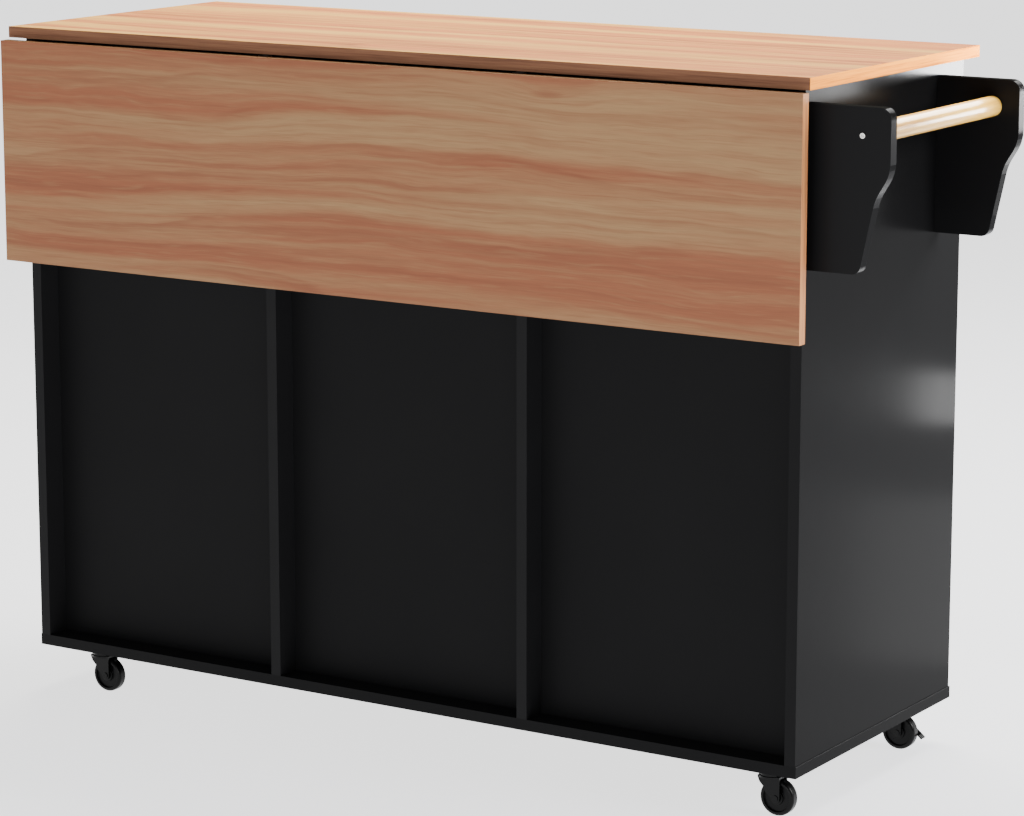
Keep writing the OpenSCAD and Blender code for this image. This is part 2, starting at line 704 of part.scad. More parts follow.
// Two sides, a back between them, and a bottom in a groove of the three, all with a fit gap
module drawer_box(n) color(drawer_board) {
    inner = [drawer_x[0] + drawer_side_t, drawer_x[1] - drawer_side_t];
    z = [box_z(n), box_z(n) + drawer_box_h];
    floor_z = [z[0] + drawer_floor_rise, z[0] + drawer_floor_rise + drawer_floor_t];
    back_in_y = drawer_back_y + drawer_side_t;
    in = drawer_side_t / 2;
    difference() {
        union() {
            for (end = [0, 1]) slab([drawer_x[end], inner[end]], [drawer_back_y, front_back_y], z);
            slab([inner[0] + fit_gap, inner[1] - fit_gap], [drawer_back_y, back_in_y], z);
        }
        slab([inner[0] - in, inner[1] + in], [back_in_y - in, front_back_y + 1],
            [floor_z[0] - fit_gap, floor_z[1] + fit_gap]);
        drawer_dowels(n, fit_gap);
    }
    drawer_dowels(n);
    slab([inner[0] - in + fit_gap, inner[1] + in - fit_gap], [back_in_y - in + fit_gap, front_back_y],
        floor_z);
}

// Channel along Y that stands on a board's face at x, with its lips towards one side
module runner(x, way, z, height) difference() {
    union() {
        slab([x, x + way * runner_t], runner_y, around(z, height));
        for (up = [-1, 1]) slab([x + way * runner_t, x + way * runner_lip * runner_space], runner_y,
            [z + up * height / 2, z + up * (height / 2 - runner_t)]);
    }
    runner_screws(x, way, z, fit_gap);
}

module runner_screws(x, way, z, clear = 0) {
    places = [for (y = runner_screw_y) [x + way * runner_t, y, z]];
    wood_screws_at(places, way > 0 ? face_right : face_left, clear);
}

module cabinet_runners() color(zinc) for (n = [1:drawer_count], end = [0, 1])
    runner(bays[1][end], 1 - 2 * end, runner_mid_z(n), runner_h);

module drawer_runners(n) color(zinc) for (end = [0, 1]) {
    runner(drawer_x[end], 2 * end - 1, runner_mid_z(n), runner_h - 2 * runner_t - 2 * seat_gap);
    runner_screws(drawer_x[end], 2 * end - 1, runner_mid_z(n));
}

module drawer_knob(n) knob(bay_mid[1], drawer_z(n) + front_h / 2);

// Casters, each drawn about its swivel's axis

module at_caster(end, row) translate([caster_x[end], caster_y[row], 0]) children();

module caster_plate() {
    race_z = crown_z + crown_t + seat_gap;
    seat_z = caster_h - plate_t;
    difference() {
        union() {
            slab(around(0, plate_size[0]), around(0, plate_size[1]), [seat_z, caster_h]);
            rod_z(0, 0, [race_z, seat_z], race_r);
        }
        rod_z(0, 0, [race_z - 1, caster_h], king_r + run_gap);
        rod_z(0, 0, [seat_z, caster_h + 1], king_head[0] + seat_gap);
        wood_screws_at(plate_screws(), face_down, fit_gap);
    }
}

function plate_screws() = [for (x = [-1, 1], y = [-1, 1]) [
    x * (plate_size[0] / 2 - plate_screw_inset), y * (plate_size[1] / 2 - plate_screw_inset),
    caster_h - plate_t]];

module caster_plates() color(zinc) for (end = [0, 1], row = [0, 1]) at_caster(end, row) caster_plate();

module wheel_profile() difference() {
    flat = wheel_w / 2 - wheel_shoulder;
    union() {
        translate([0, -wheel_w / 2]) square([wheel_r - wheel_shoulder, wheel_w]);
        translate([0, -flat]) square([wheel_r, 2 * flat]);
        for (side = [-1, 1]) translate([wheel_r - wheel_shoulder, side * flat]) circle(r = wheel_shoulder);
    }
    translate([-1, -wheel_w]) square([axle_r + run_gap + 1, 2 * wheel_w]);
    for (side = [0, 1]) mirror([0, side]) translate([wheel_dish[0], wheel_w / 2 - wheel_dish[2]])
        square([wheel_dish[1] - wheel_dish[0], wheel_dish[2] + 1]);
}

module wheel(end, row) color(rubber) at_caster(end, row) translate([trail, 0, wheel_r]) rotate([90, 0, 0])
    rotate_extrude() wheel_profile();

// Outline of a fork's leg
leg_points = [
    [-fork_lead, crown_z + crown_t], [-fork_lead, crown_z], [-fork_lead + 2.5, crown_z - 6],
    [-fork_lead + 8.5, crown_z - 12], [-fork_lead + 10.5, crown_z - 18], [trail - fork_eye_r, wheel_r],
    [trail + fork_eye_r, wheel_r], [trail + fork_eye_r, crown_z + crown_t]];

module fork(end, row) color(black) at_caster(end, row) {
    crown = [crown_z, crown_z + crown_t];
    king_z = caster_h - plate_t + fit_gap;
    difference() {
        union() {
            rod_z(0, 0, crown, crown_r);
            slab([0, trail + fork_eye_r], [-fork_out, fork_out], crown);
            for (side = [-1, 1]) {
                plate_xz([side * fork_in, side * fork_out], leg_points);
                rod_y(trail, [side * fork_in, side * fork_out], wheel_r, fork_eye_r);
            }
            rod_z(0, 0, [crown_z, king_z], king_r);
            rod_z(0, 0, [king_z, king_z + king_head[1]], king_head[0]);
        }
        rod_y(trail, [-2 * fork_out, 2 * fork_out], wheel_r, axle_r + run_gap);
    }
    rod_y(trail, [-fork_out, fork_out], wheel_r, axle_r);
    for (side = [-1, 1])
        rod_y(trail, [side * fork_out, side * (fork_out + axle_head[1])], wheel_r, axle_head[0]);
    if (row == 1) {
        head_y = brake_y[1] + run_gap;
        rod_y(brake_pin[0], [fork_in, head_y], brake_pin[1], brake_pin_r);
        rod_y(brake_pin[0], [head_y, head_y + brake_pin_head[1]], brake_pin[1], brake_pin_head[0]);
    }
}

// Outlines of the brake's arm, from its pin to the tyre's rim, and of its pedal
rim = [trail + wheel_r, wheel_r];
arm_points = [
    brake_pin + [2.8, 3.5], rim + [7.2, -6.4], rim + [6, -8.2], rim + [3, -8.3], rim + [0.5, -6.3],
    rim + [-5, -6.5], brake_pin + [-2.8, -3.2]];
pedal_points = [rim + [2.4, -2.6], rim + [7.2, -6.4], rim + [6, -8], rim + [1.2, -4.2]];

module brake(end) color(black) at_caster(end, 1) difference() {
    union() {
        rod_y(brake_pin[0], brake_y, brake_pin[1], brake_end_r);
        plate_xz(brake_y, arm_points);
        plate_xz([pedal_y, brake_y[1]], pedal_points);
    }
    rod_y(brake_pin[0], [fork_in, 2 * fork_out], brake_pin[1], brake_pin_r + run_gap);
}

module wood_screws() color(zinc) {
    for (x = bay_mid) wood_screws_at(leaf_hinge_screws(x), face_down);
    for (x = divider_mid) wood_screws_at(leg_screw_places(x), face_back);
    for (way = [-1, 1]) on_side(way) for (z = door_hinge_z) door_hinge_screws(z, false);
    for (n = [1:drawer_count], end = [0, 1]) runner_screws(bays[1][end], 1 - 2 * end, runner_mid_z(n));
    for (end = [0, 1], row = [0, 1]) at_caster(end, row) wood_screws_at(plate_screws(), face_down);
}

// Moves the table so that the origin is under the middle of its box
module placed() translate(-origin) children();

placed() worktop();
placed() bottom_panel();
placed() left_side();
placed() right_side();
placed() left_divider();
placed() right_divider();
placed() back_panels();
placed() shelves();
placed() shelf_pins();
placed() panel_dowels();
placed() cam_fittings();
placed() bottom_screws();
placed() towel_bracket(back_y);  // towel_bracket_back
placed() towel_bracket(bracket_front_y);  // towel_bracket_front
placed() towel_rail();
placed() towel_screws();
placed() leaf_hinge_plates();
placed() hinge_pins();
placed() support_wall_legs();
placed() cabinet_runners();
placed() door_hinge_plates();
placed() door_catches();
placed() caster_plates();
placed() wood_screws();
placed() leaf_panel();
placed() leaf_hinge_leaves();
placed() support_arms();
placed() leaf_screws();
placed() strut(divider_mid[0]);  // left_strut
placed() strut(divider_mid[1]);  // right_strut
placed() door_panel(-1);  // left_door_panel
placed() door_metalwork(-1);  // left_door_metalwork
placed() knob(door_knob_x(-1), knob_z);  // left_door_knob
placed() door_panel(1);  // right_door_panel
placed() door_metalwork(1);  // right_door_metalwork
placed() knob(door_knob_x(1), knob_z);  // right_door_knob
placed() drawer_front(1);  // drawer_1_front
placed() drawer_box(1);  // drawer_1_box
placed() drawer_runners(1);  // drawer_1_runners
placed() drawer_knob(1);  // drawer_1_knob
placed() drawer_front(2);  // drawer_2_front
placed() drawer_box(2);  // drawer_2_box
placed() drawer_runners(2);  // drawer_2_runners
placed() drawer_knob(2);  // drawer_2_knob
placed() drawer_front(3);  // drawer_3_front
placed() drawer_box(3);  // drawer_3_box
placed() drawer_runners(3);  // drawer_3_runners
placed() drawer_knob(3);  // drawer_3_knob
placed() fork(0, 0);  // back_left_fork
placed() wheel(0, 0);  // back_left_wheel
placed() fork(1, 0);  // back_right_fork
placed() wheel(1, 0);  // back_right_wheel
placed() fork(0, 1);  // front_left_fork
placed() wheel(0, 1);  // front_left_wheel
placed() brake(0);  // front_left_brake
placed() fork(1, 1);  // front_right_fork
placed() wheel(1, 1);  // front_right_wheel
placed() brake(1);  // front_right_brake
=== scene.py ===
"""Looks of a rolling storage table: wood-print boards, black cabinet, towel rack, hardware and casters."""

import json
import logging
import math
from dataclasses import dataclass
from enum import Enum
from typing import Callable, ClassVar, Optional, Sequence, Union

import bmesh
import bpy
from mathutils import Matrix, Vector


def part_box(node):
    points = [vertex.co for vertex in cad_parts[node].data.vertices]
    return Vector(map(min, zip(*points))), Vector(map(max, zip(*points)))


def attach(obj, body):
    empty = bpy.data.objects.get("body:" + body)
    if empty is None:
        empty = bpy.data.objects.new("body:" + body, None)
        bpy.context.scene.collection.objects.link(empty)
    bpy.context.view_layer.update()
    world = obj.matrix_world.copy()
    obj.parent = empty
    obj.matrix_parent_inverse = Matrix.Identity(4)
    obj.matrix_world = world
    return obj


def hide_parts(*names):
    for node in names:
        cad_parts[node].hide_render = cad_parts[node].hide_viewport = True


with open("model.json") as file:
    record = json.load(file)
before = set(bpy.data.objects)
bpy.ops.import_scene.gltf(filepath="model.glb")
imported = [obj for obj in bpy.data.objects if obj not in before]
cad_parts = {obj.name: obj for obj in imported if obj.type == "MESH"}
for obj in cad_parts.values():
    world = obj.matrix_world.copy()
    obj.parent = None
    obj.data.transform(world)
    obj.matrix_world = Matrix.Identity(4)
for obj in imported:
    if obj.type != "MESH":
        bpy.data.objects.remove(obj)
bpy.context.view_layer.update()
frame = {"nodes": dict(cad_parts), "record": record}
LOG = logging.getLogger("storage_table")

Triple = tuple[float, float, float]
Pair = tuple[float, float]
Colour = Triple
Socket = bpy.types.NodeSocket
Value = Union[Socket, float, tuple]
Seat = tuple[Vector, Vector]

# The range in which a noise mostly lies, and a wider one
NOISE_RANGE = (0.3, 0.7)
WIDE_RANGE = (0.25, 0.75)


class Axis(Enum):
    """A direction of the table's frame, as an index into a vector."""

    X = 0
    Y = 1
    Z = 2


class Graph:
    """A node tree with short calls that add nodes and wire them."""

    def __init__(self, tree: bpy.types.NodeTree) -> None:
        """Wraps a tree.

        Args:
            tree: the material's or geometry's node tree.
        """
        self.tree = tree

    def node(self, kind: str, **settings: object) -> bpy.types.Node:
        """Adds a node.

        Args:
            kind: the node's type name.
            **settings: attributes to set on it.

        Returns:
            The new node.
        """
        made = self.tree.nodes.new(kind)
        for name, value in settings.items():
            setattr(made, name, value)
        return made

    def feed(self, node: bpy.types.Node, **inputs: Value) -> bpy.types.Node:
        """Sets or links a node's inputs.

        Args:
            node: the node to feed.
            **inputs: a value or a socket for each input, by name, with _ for a space, or i0, i1 by index.

        Returns:
            The same node.
        """
        for name, value in inputs.items():
            by_index = name[0] == "i" and name[1:].isdigit()
            key: Union[int, str] = int(name[1:]) if by_index else name.replace("_", " ")
            socket = node.inputs[key]
            if isinstance(value, Socket):
                self.tree.links.new(value, socket)
            elif isinstance(value, tuple) and len(value) == 3 and socket.type == "RGBA":
                socket.default_value = (*value, 1.0)
            else:
                socket.default_value = value
        return node

    def math(self, operation: str, a: Value, b: Value = 0.0) -> Socket:
        """Adds a Math node and returns its result.

        Args:
            operation: the node's operation, such as ADD.
            a: first operand.
            b: second operand.

        Returns:
            The result's socket.
        """
        made = self.node("ShaderNodeMath", operation=operation)
        return self.feed(made, i0=a, i1=b).outputs[0]

    def line(self, value: Value, slope: float, start: Value) -> Socket:
        """Gives slope times a value, plus start."""
        return self.math("ADD", self.math("MULTIPLY", value, slope), start)

    def shared(self, a: Value, b: Value, share: float) -> Socket:
        """Adds two values, a with a share and b with the rest."""
        return self.math("ADD", self.math("MULTIPLY", a, share), self.math("MULTIPLY", b, 1.0 - share))

    def vector(self, operation: str, a: Value, b: Value) -> Socket:
        """Adds a Vector Math node and returns its vector, for operands a and b."""
        made = self.node("ShaderNodeVectorMath", operation=operation)
        return self.feed(made, i0=a, i1=b).outputs[0]

    def combine(self, x: Value, y: Value, z: Value) -> Socket:
        """Makes a vector out of three numbers."""
        return self.feed(self.node("ShaderNodeCombineXYZ"), i0=x, i1=y, i2=z).outputs[0]

    def part(self, vector: Value, axis: Axis) -> Socket:
        """Takes one number out of a vector."""
        return self.feed(self.node("ShaderNodeSeparateXYZ"), i0=vector).outputs[axis.value]

    def spread(
        self, value: Value, low: float, high: float, to_low: float = 0.0, to_high: float = 1.0
    ) -> Socket:
        """Maps a range of a value to another range, clamped.

        Args:
            value: what is mapped.
            low: the range's start.
            high: the range's end.
            to_low: the result at low.
            to_high: the result at high.

        Returns:
            The mapped value's socket.
        """
        made = self.node("ShaderNodeMapRange")
        return self.feed(made, i0=value, i1=low, i2=high, i3=to_low, i4=to_high).outputs[0]

    def between(self, noise: Value, low: float, high: float, within: Pair = NOISE_RANGE) -> Socket:
        """Maps a noise from the range that it lies within to low and high."""
        return self.spread(noise, *within, low, high)

    def noise(self, vector: Value, scale: float, detail: float = 2.0, roughness: float = 0.5) -> Socket:
        """Adds a Noise Texture.

        Args:
            vector: where it is read.
            scale: how many features there are in a metre.
            detail: its octaves.
            roughness: how strong the finer octaves are.

        Returns:
            The noise's socket, about 0.5.
        """
        made = self.feed(
            self.node("ShaderNodeTexNoise"), Vector=vector, Scale=scale, Detail=detail, Roughness=roughness
        )
        return made.outputs[0]

    def grain(self, place: Value, scales: Triple, detail: float, roughness: float) -> Socket:
        """Adds a noise with a scale of its own along each axis.

        Args:
            place: where it is read.
            scales: how many features there are in a metre of X, Y and Z.
            detail: its octaves.
            roughness: how strong the finer octaves are.

        Returns:
            The noise's socket, about 0.5.
        """
        return self.noise(self.vector("MULTIPLY", place, scales), 1.0, detail, roughness)

    def stretched(
        self, place: Value, along: float, across: float, detail: float, roughness: float = 0.5
    ) -> Socket:
        """Adds a noise that is drawn out along X, with features per metre along it and across it."""
        return self.grain(place, (along, across, across), detail, roughness)

    def ramp(self, factor: Value, stops: Sequence[tuple[float, Colour]]) -> Socket:
        """Adds a Color Ramp.

        Args:
            factor: where the ramp is read.
            stops: positions with their colours.

        Returns:
            The colour's socket.
        """
        made = self.feed(self.node("ShaderNodeValToRGB"), i0=factor)
        elements = made.color_ramp.elements
        while len(elements) < len(stops):
            elements.new(0.5)
        for element, (position, colour) in zip(elements, stops):
            element.position = position
            element.color = (*colour, 1.0)
        return made.outputs[0]

    def mix(self, factor: Value, a: Value, b: Value, blend: str = "MIX") -> Socket:
        """Mixes two colours.

        Args:
            factor: the share of b.
            a: first colour.
            b: second colour.
            blend: the way in which b is laid on a.

        Returns:
            The colour's socket.
        """
        made = self.node("ShaderNodeMix", data_type="RGBA", blend_type=blend)
        return self.feed(made, i0=factor, i6=a, i7=b).outputs[2]

    def bump(self, height: Value, strength: float, distance: float) -> Socket:
        """Turns a height into a normal.

        Args:
            height: the height, from 0 to 1.
            strength: how much of it shows.
            distance: the height's size in metres.

        Returns:
            The normal's socket.
        """
        made = self.feed(self.node("ShaderNodeBump"), Strength=strength, Distance=distance, Height=height)
        return made.outputs[0]


@dataclass(frozen=True)
class Finish:
    """A surface finish, which makes its material once and then hands out the same one."""

    name: str
    slot: str

    def material(self) -> bpy.types.Material:
        """Makes the finish's material, or finds it.

        Returns:
            The material.
        """
        found = bpy.data.materials.get(self.name)
        if found:
            return found
        made = bpy.data.materials.new(self.name)
        made.use_nodes = True
        shader = made.node_tree.nodes["Principled BSDF"]
        graph = Graph(made.node_tree)
        place = graph.node("ShaderNodeTexCoord").outputs["Object"]
        self.dress(graph, shader, place)
        return made

    def dress(self, graph: Graph, shader: bpy.types.Node, place: Socket) -> None:
        """Wires the finish's nodes.

        Args:
            graph: the material's tree.
            shader: its Principled BSDF.
            place: the object's coordinates, in metres.
        """
        raise NotImplementedError


@dataclass(frozen=True)
class WoodPrint(Finish):
    """Printed wood, its grain along X: red bands on tan, growth lines that part round knots, and fibres.

    Each noise is given by its features per metre along and across the grain, its octaves and, where it
    isn't one half, its roughness. The waves also have the range that is used and their height in metres.
    """

    tan: Colour
    red: Colour
    streak: Colour
    shift: Triple
    gloss: float

    WAVES: ClassVar = (
        ((0.9, 4.0, 2.0), WIDE_RANGE, 0.017),
        ((4.4, 15.0, 2.0), WIDE_RANGE, 0.0055),
        ((20.0, 70.0, 1.0), NOISE_RANGE, 0.0008),
    )
    BANDS: ClassVar = (0.6, 19.0, 3.0)
    STREAKS: ClassVar = (1.0, 70.0, 3.0, 0.55)
    LINES: ClassVar = (5.5, 270.0, 3.0, 0.65)
    FLECKS: ClassVar = (13.0, 190.0, 2.0, 0.6)
    FIBRES: ClassVar = (26.0, 950.0, 2.0, 0.6)
    RING_SHARE: ClassVar = (1.5, 11.0, 2.0)
    RING_BEND: ClassVar = (0.8, 9.0, 3.0)
    RING_BENDS: ClassVar = 4.5
    RINGS_PER_METRE: ClassVar = 24.0
    RING_START: ClassVar = 0.25
    RING_DARKEST: ClassVar = 0.94
    RING_POWER: ClassVar = 2.4
    KNOTS: ClassVar = (1.9, 8.0, 8.0)
    KNOT_REACH: ClassVar = (0.02, 0.42)
    KNOT_HILL: ClassVar = 0.017

    def flow(self, graph: Graph, place: Socket) -> tuple[Socket, Socket]:
        """Lays the grain out along and across, with waves and with hills at the knots.

        Args:
            graph: the material's tree.
            place: the point's coordinates, in metres.

        Returns:
            A vector of the place along and across the grain, and the distance to the nearest knot.
        """
        sway, waves, ripples = (
            graph.between(graph.stretched(place, *noise), -height, height, within)
            for noise, within, height in self.WAVES
        )
        knots = graph.node("ShaderNodeTexVoronoi", feature="F1")
        graph.feed(knots, Vector=graph.vector("MULTIPLY", place, self.KNOTS), Scale=1.0, Randomness=1.0)
        near = knots.outputs["Distance"]
        hills = graph.math("POWER", graph.spread(near, *self.KNOT_REACH, 1.0, 0.0), 2.0)
        fine = graph.line(hills, self.KNOT_HILL, ripples)
        drift = graph.math("ADD", graph.math("ADD", sway, waves), fine)
        across = graph.math("ADD", graph.part(place, Axis.Y), graph.part(place, Axis.Z))
        return graph.combine(graph.part(place, Axis.X), graph.math("ADD", across, drift), 0.0), near

    def growth(self, graph: Graph, flow: Socket, bands: Socket) -> Socket:
        """Draws growth lines, each dark at one side and fading to the other.

        Args:
            graph: the material's tree.
            flow: the place along and across the grain.
            bands: how red the wood is there.

        Returns:
            How dark the lines are.
        """
        bend = graph.math("MULTIPLY", graph.stretched(flow, *self.RING_BEND), self.RING_BENDS)
        ring = graph.math("FRACT", graph.line(graph.part(flow, Axis.Y), self.RINGS_PER_METRE, bend))
        rise = graph.spread(ring, self.RING_START, self.RING_DARKEST)
        rise = graph.math("POWER", rise, self.RING_POWER)
        fall = graph.spread(ring, self.RING_DARKEST, 1.0, 1.0, 0.0)
        seen = graph.spread(graph.stretched(flow, *self.RING_SHARE), 0.42, 0.62, 0.05, 0.9)
        share = graph.math("MULTIPLY", seen, graph.line(bands, 0.5, 0.4))
        return graph.math("MULTIPLY", graph.math("MULTIPLY", rise, fall), share)

    def dress(self, graph: Graph, shader: bpy.types.Node, place: Socket) -> None:
        """Wires the wood print's nodes.

        Args:
            graph: the material's tree.
            shader: its Principled BSDF.
            place: the object's coordinates, in metres.
        """
        moved = graph.vector("ADD", place, self.shift)
        flow, near = self.flow(graph, moved)
        bands = graph.spread(graph.stretched(flow, *self.BANDS), 0.405, 0.56)
        streaks = graph.stretched(flow, *self.STREAKS)
        lines = graph.stretched(flow, *self.LINES)
        flecks = graph.stretched(flow, *self.FLECKS)
        fibres = graph.stretched(moved, *self.FIBRES)
        body = graph.mix(bands, self.tan, self.red)
        body = graph.mix(self.growth(graph, flow, bands), body, self.streak)
        strong = graph.spread(streaks, 0.52, 0.64)
        strong = graph.math("MULTIPLY", strong, graph.line(bands, 0.35, 0.2))
        body = graph.mix(strong, body, self.streak)
        # Each layer: what it follows, from where to where it sets in, how strong it gets, and its colour
        for value, start, end, share, colour in (
            (streaks, 0.46, 0.34, 0.3, self.tan),
            (lines, 0.51, 0.66, 0.32, self.streak),
            (flecks, 0.52, 0.7, 0.22, self.streak),
            (flecks, 0.46, 0.32, 0.25, self.tan),
            (near, 0.06, 0.02, 0.7, self.streak),
        ):
            body = graph.mix(graph.spread(value, start, end, 0.0, share), body, colour)
        grey = graph.between(fibres, 0.93, 1.06)
        body = graph.mix(1.0, body, graph.combine(grey, grey, grey), "MULTIPLY")
        relief = graph.bump(graph.shared(fibres, lines, 0.6), strength=0.3, distance=0.0003)
        graph.feed(shader, Base_Color=body, Roughness=graph.between(fibres, 0.37, 0.49))
        graph.feed(shader, Normal=relief, Specular_IOR_Level=self.gloss)


@dataclass(frozen=True)
class EdgeBand(Finish):
    """Wood-print edging on a board's narrow face, with its lines along the edge."""

    along: Axis
    pale: Colour
    mid: Colour
    dark: Colour
    gloss: float = 0.06

    FINE: ClassVar = (11.0, 520.0)
    BROAD: ClassVar = (4.0, 140.0)

    def drawn(self, along: float, across: float) -> Triple:
        """Gives a noise's scales: one along the edge, and one across it."""
        return tuple(along if axis is self.along else across for axis in Axis)

    def dress(self, graph: Graph, shader: bpy.types.Node, place: Socket) -> None:
        """Wires the edging's nodes.

        Args:
            graph: the material's tree.
            shader: its Principled BSDF.
            place: the object's coordinates, in metres.
        """
        lines = graph.grain(place, self.drawn(*self.FINE), 3.0, 0.6)
        bands = graph.grain(place, self.drawn(*self.BROAD), 2.0, 0.5)
        tone = graph.shared(lines, bands, 0.55)
        body = graph.ramp(tone, ((0.36, self.pale), (0.5, self.mid), (0.64, self.dark)))
        relief = graph.bump(lines, strength=0.3, distance=0.0002)
        graph.feed(shader, Base_Color=body, Roughness=graph.between(lines, 0.38, 0.5))
        graph.feed(shader, Normal=relief, Specular_IOR_Level=self.gloss)


@dataclass(frozen=True)
class BlackBoard(Finish):
    """Black laminate with a fine pearl, handled smooth here and there."""

    tone: float
    gloss: float
    rough: float

    PEARL: ClassVar = 1500.0
    CLOUDS: ClassVar = 5.0
    WEAR: ClassVar = (36.0, 36.0, 12.0)
    CLOUDED: ClassVar = 0.06
    COOL: ClassVar = 1.06

    def dress(self, graph: Graph, shader: bpy.types.Node, place: Socket) -> None:
        """Wires the laminate's nodes.

        Args:
            graph: the material's tree.
            shader: its Principled BSDF.
            place: the object's coordinates, in metres.
        """
        pearl = graph.noise(place, self.PEARL, 2.0, 0.6)
        cloud = graph.noise(place, self.CLOUDS, 3.0, 0.55)
        wear = graph.grain(place, self.WEAR, 4.0, 0.6)
        tint = graph.between(cloud, (1.0 - self.CLOUDED) * self.tone, (1.0 + self.CLOUDED) * self.tone)
        cool = graph.math("MULTIPLY", tint, self.COOL)
        rough = graph.math("ADD", graph.between(wear, -0.01, 0.01), self.rough)
        relief = graph.bump(pearl, strength=0.16, distance=0.00008)
        graph.feed(shader, Base_Color=graph.combine(tint, tint, cool), Roughness=rough)
        graph.feed(shader, Normal=relief, Specular_IOR_Level=self.gloss)


@dataclass(frozen=True)
class Turned(Finish):
    """Clear-varnished light wood, turned round an axis along Y."""

    STOPS: ClassVar = ((0.36, (0.36, 0.17, 0.03)), (0.5, (0.6, 0.33, 0.05)), (0.66, (0.78, 0.48, 0.085)))
    BANDS: ClassVar = (110.0, 3.0, 110.0)
    FIBRES: ClassVar = (900.0, 30.0, 900.0)

    def dress(self, graph: Graph, shader: bpy.types.Node, place: Socket) -> None:
        """Wires the turned wood's nodes.

        Args:
            graph: the material's tree.
            shader: its Principled BSDF.
            place: the object's coordinates, in metres.
        """
        sway = graph.between(graph.noise(place, 7.0, 2.0), -0.004, 0.004)
        flow = graph.vector("ADD", place, graph.combine(sway, 0.0, sway))
        bands = graph.grain(flow, self.BANDS, 3.0, 0.5)
        fibres = graph.grain(flow, self.FIBRES, 2.0, 0.6)
        body = graph.ramp(graph.shared(bands, fibres, 0.75), self.STOPS)
        relief = graph.bump(fibres, strength=0.12, distance=0.0002)
        graph.feed(shader, Base_Color=body, Roughness=graph.between(fibres, 0.3, 0.42), Normal=relief)
        graph.feed(shader, Specular_IOR_Level=0.15, Coat_Weight=0.45, Coat_Roughness=0.14)


@dataclass(frozen=True)
class Plated(Finish):
    """Plated steel with fine marks across Z and faint stains."""

    colour: Colour
    rough: float

    MARKS: ClassVar = (300.0, 300.0, 1800.0)
    STAINS: ClassVar = 60.0
    STAINED: ClassVar = 0.78

    def dress(self, graph: Graph, shader: bpy.types.Node, place: Socket) -> None:
        """Wires the plating's nodes.

        Args:
            graph: the material's tree.
            shader: its Principled BSDF.
            place: the object's coordinates, in metres.
        """
        marks = graph.grain(place, self.MARKS, 3.0, 0.6)
        stain = graph.noise(place, self.STAINS, 3.0, 0.6)
        dull = tuple(self.STAINED * channel for channel in self.colour)
        body = graph.mix(graph.spread(stain, 0.35, 0.7, 0.0, 0.6), self.colour, dull)
        rough = graph.math("ADD", graph.between(marks, -0.05, 0.07), self.rough)
        relief = graph.bump(marks, strength=0.1, distance=0.0001)
        graph.feed(shader, Base_Color=body, Roughness=rough, Metallic=1.0, Normal=relief)


@dataclass(frozen=True)
class Moulded(Finish):
    """Paint, plastic or rubber with a fine grain and a little dust."""

    colour: Colour
    rough: float
    gloss: float
    grain: float
    depth: float

    DUST: ClassVar = 45.0

    def dress(self, graph: Graph, shader: bpy.types.Node, place: Socket) -> None:
        """Wires the grain's nodes.

        Args:
            graph: the material's tree.
            shader: its Principled BSDF.
            place: the object's coordinates, in metres.
        """
        grain = graph.noise(place, self.grain, 2.0, 0.6)
        dust = graph.noise(place, self.DUST, 4.0, 0.6)
        dusty = tuple(min(1.0, 1.25 * channel + 0.0006) for channel in self.colour)
        body = graph.mix(graph.spread(dust, 0.4, 0.75, 0.0, 0.7), self.colour, dusty)
        rough = graph.math("ADD", graph.between(dust, -0.04, 0.08), self.rough)
        relief = graph.bump(grain, strength=self.depth, distance=0.0002)
        graph.feed(shader, Base_Color=body, Roughness=rough, Normal=relief, Specular_IOR_Level=self.gloss)


# Wood prints: tan, red and streaks, the print's shift in metres, and the gloss. The worktop's print is the
# leaf's print made lighter, which is painted light; the leaf's darker print, also used under the worktop,
# is painted shade
LIT_TOP_PRINT = WoodPrint(
    "worktop wood print, painted light",
    "oak_board",
    (0.39, 0.214, 0.064),
    (0.315, 0.109, 0.042),
    (0.14, 0.047, 0.022),
    (0.31, 0.17, 0.0),
    0.03,
)
SHADED_LEAF_PRINT = WoodPrint(
    "leaf wood print, painted shade",
    "oak_board",
    (0.285, 0.165, 0.078),
    (0.235, 0.085, 0.041),
    (0.185, 0.062, 0.031),
    (1.94, 0.63, 0.42),
    0.14,
)
# Edge bands: the axis along them, and the pale, middle and dark colours
# The worktop's long edging is its print made darker: painted shade on the long edges
SHADED_TOP_EDGE = EdgeBand(
    "worktop long edging, painted shade",
    "oak_board",
    Axis.X,
    (0.245, 0.12, 0.065),
    (0.205, 0.094, 0.053),
    (0.13, 0.058, 0.034),
)
# The worktop's end edging is painted much brighter and more orange than the leaf's end edging: painted
# light from the right
LIT_TOP_END = EdgeBand(
    "worktop end edging, painted light",
    "oak_board",
    Axis.Y,
    (0.98, 0.37, 0.036),
    (0.87, 0.29, 0.028),
    (0.54, 0.16, 0.019),
    0.0,
)
LEAF_END = EdgeBand(
    "leaf end edging",
    "oak_board",
    Axis.Z,
    (0.45, 0.205, 0.075),
    (0.36, 0.15, 0.057),
    (0.22, 0.083, 0.036),
)
# The leaf's top edge is painted dark: painted shade in the gap under the worktop, which hides the highlight
# on its rounded edge
SHADED_LEAF_SEAM = EdgeBand(
    "leaf seam edging, painted shade",
    "oak_board",
    Axis.X,
    (0.15, 0.075, 0.036),
    (0.12, 0.055, 0.027),
    (0.08, 0.036, 0.018),
)
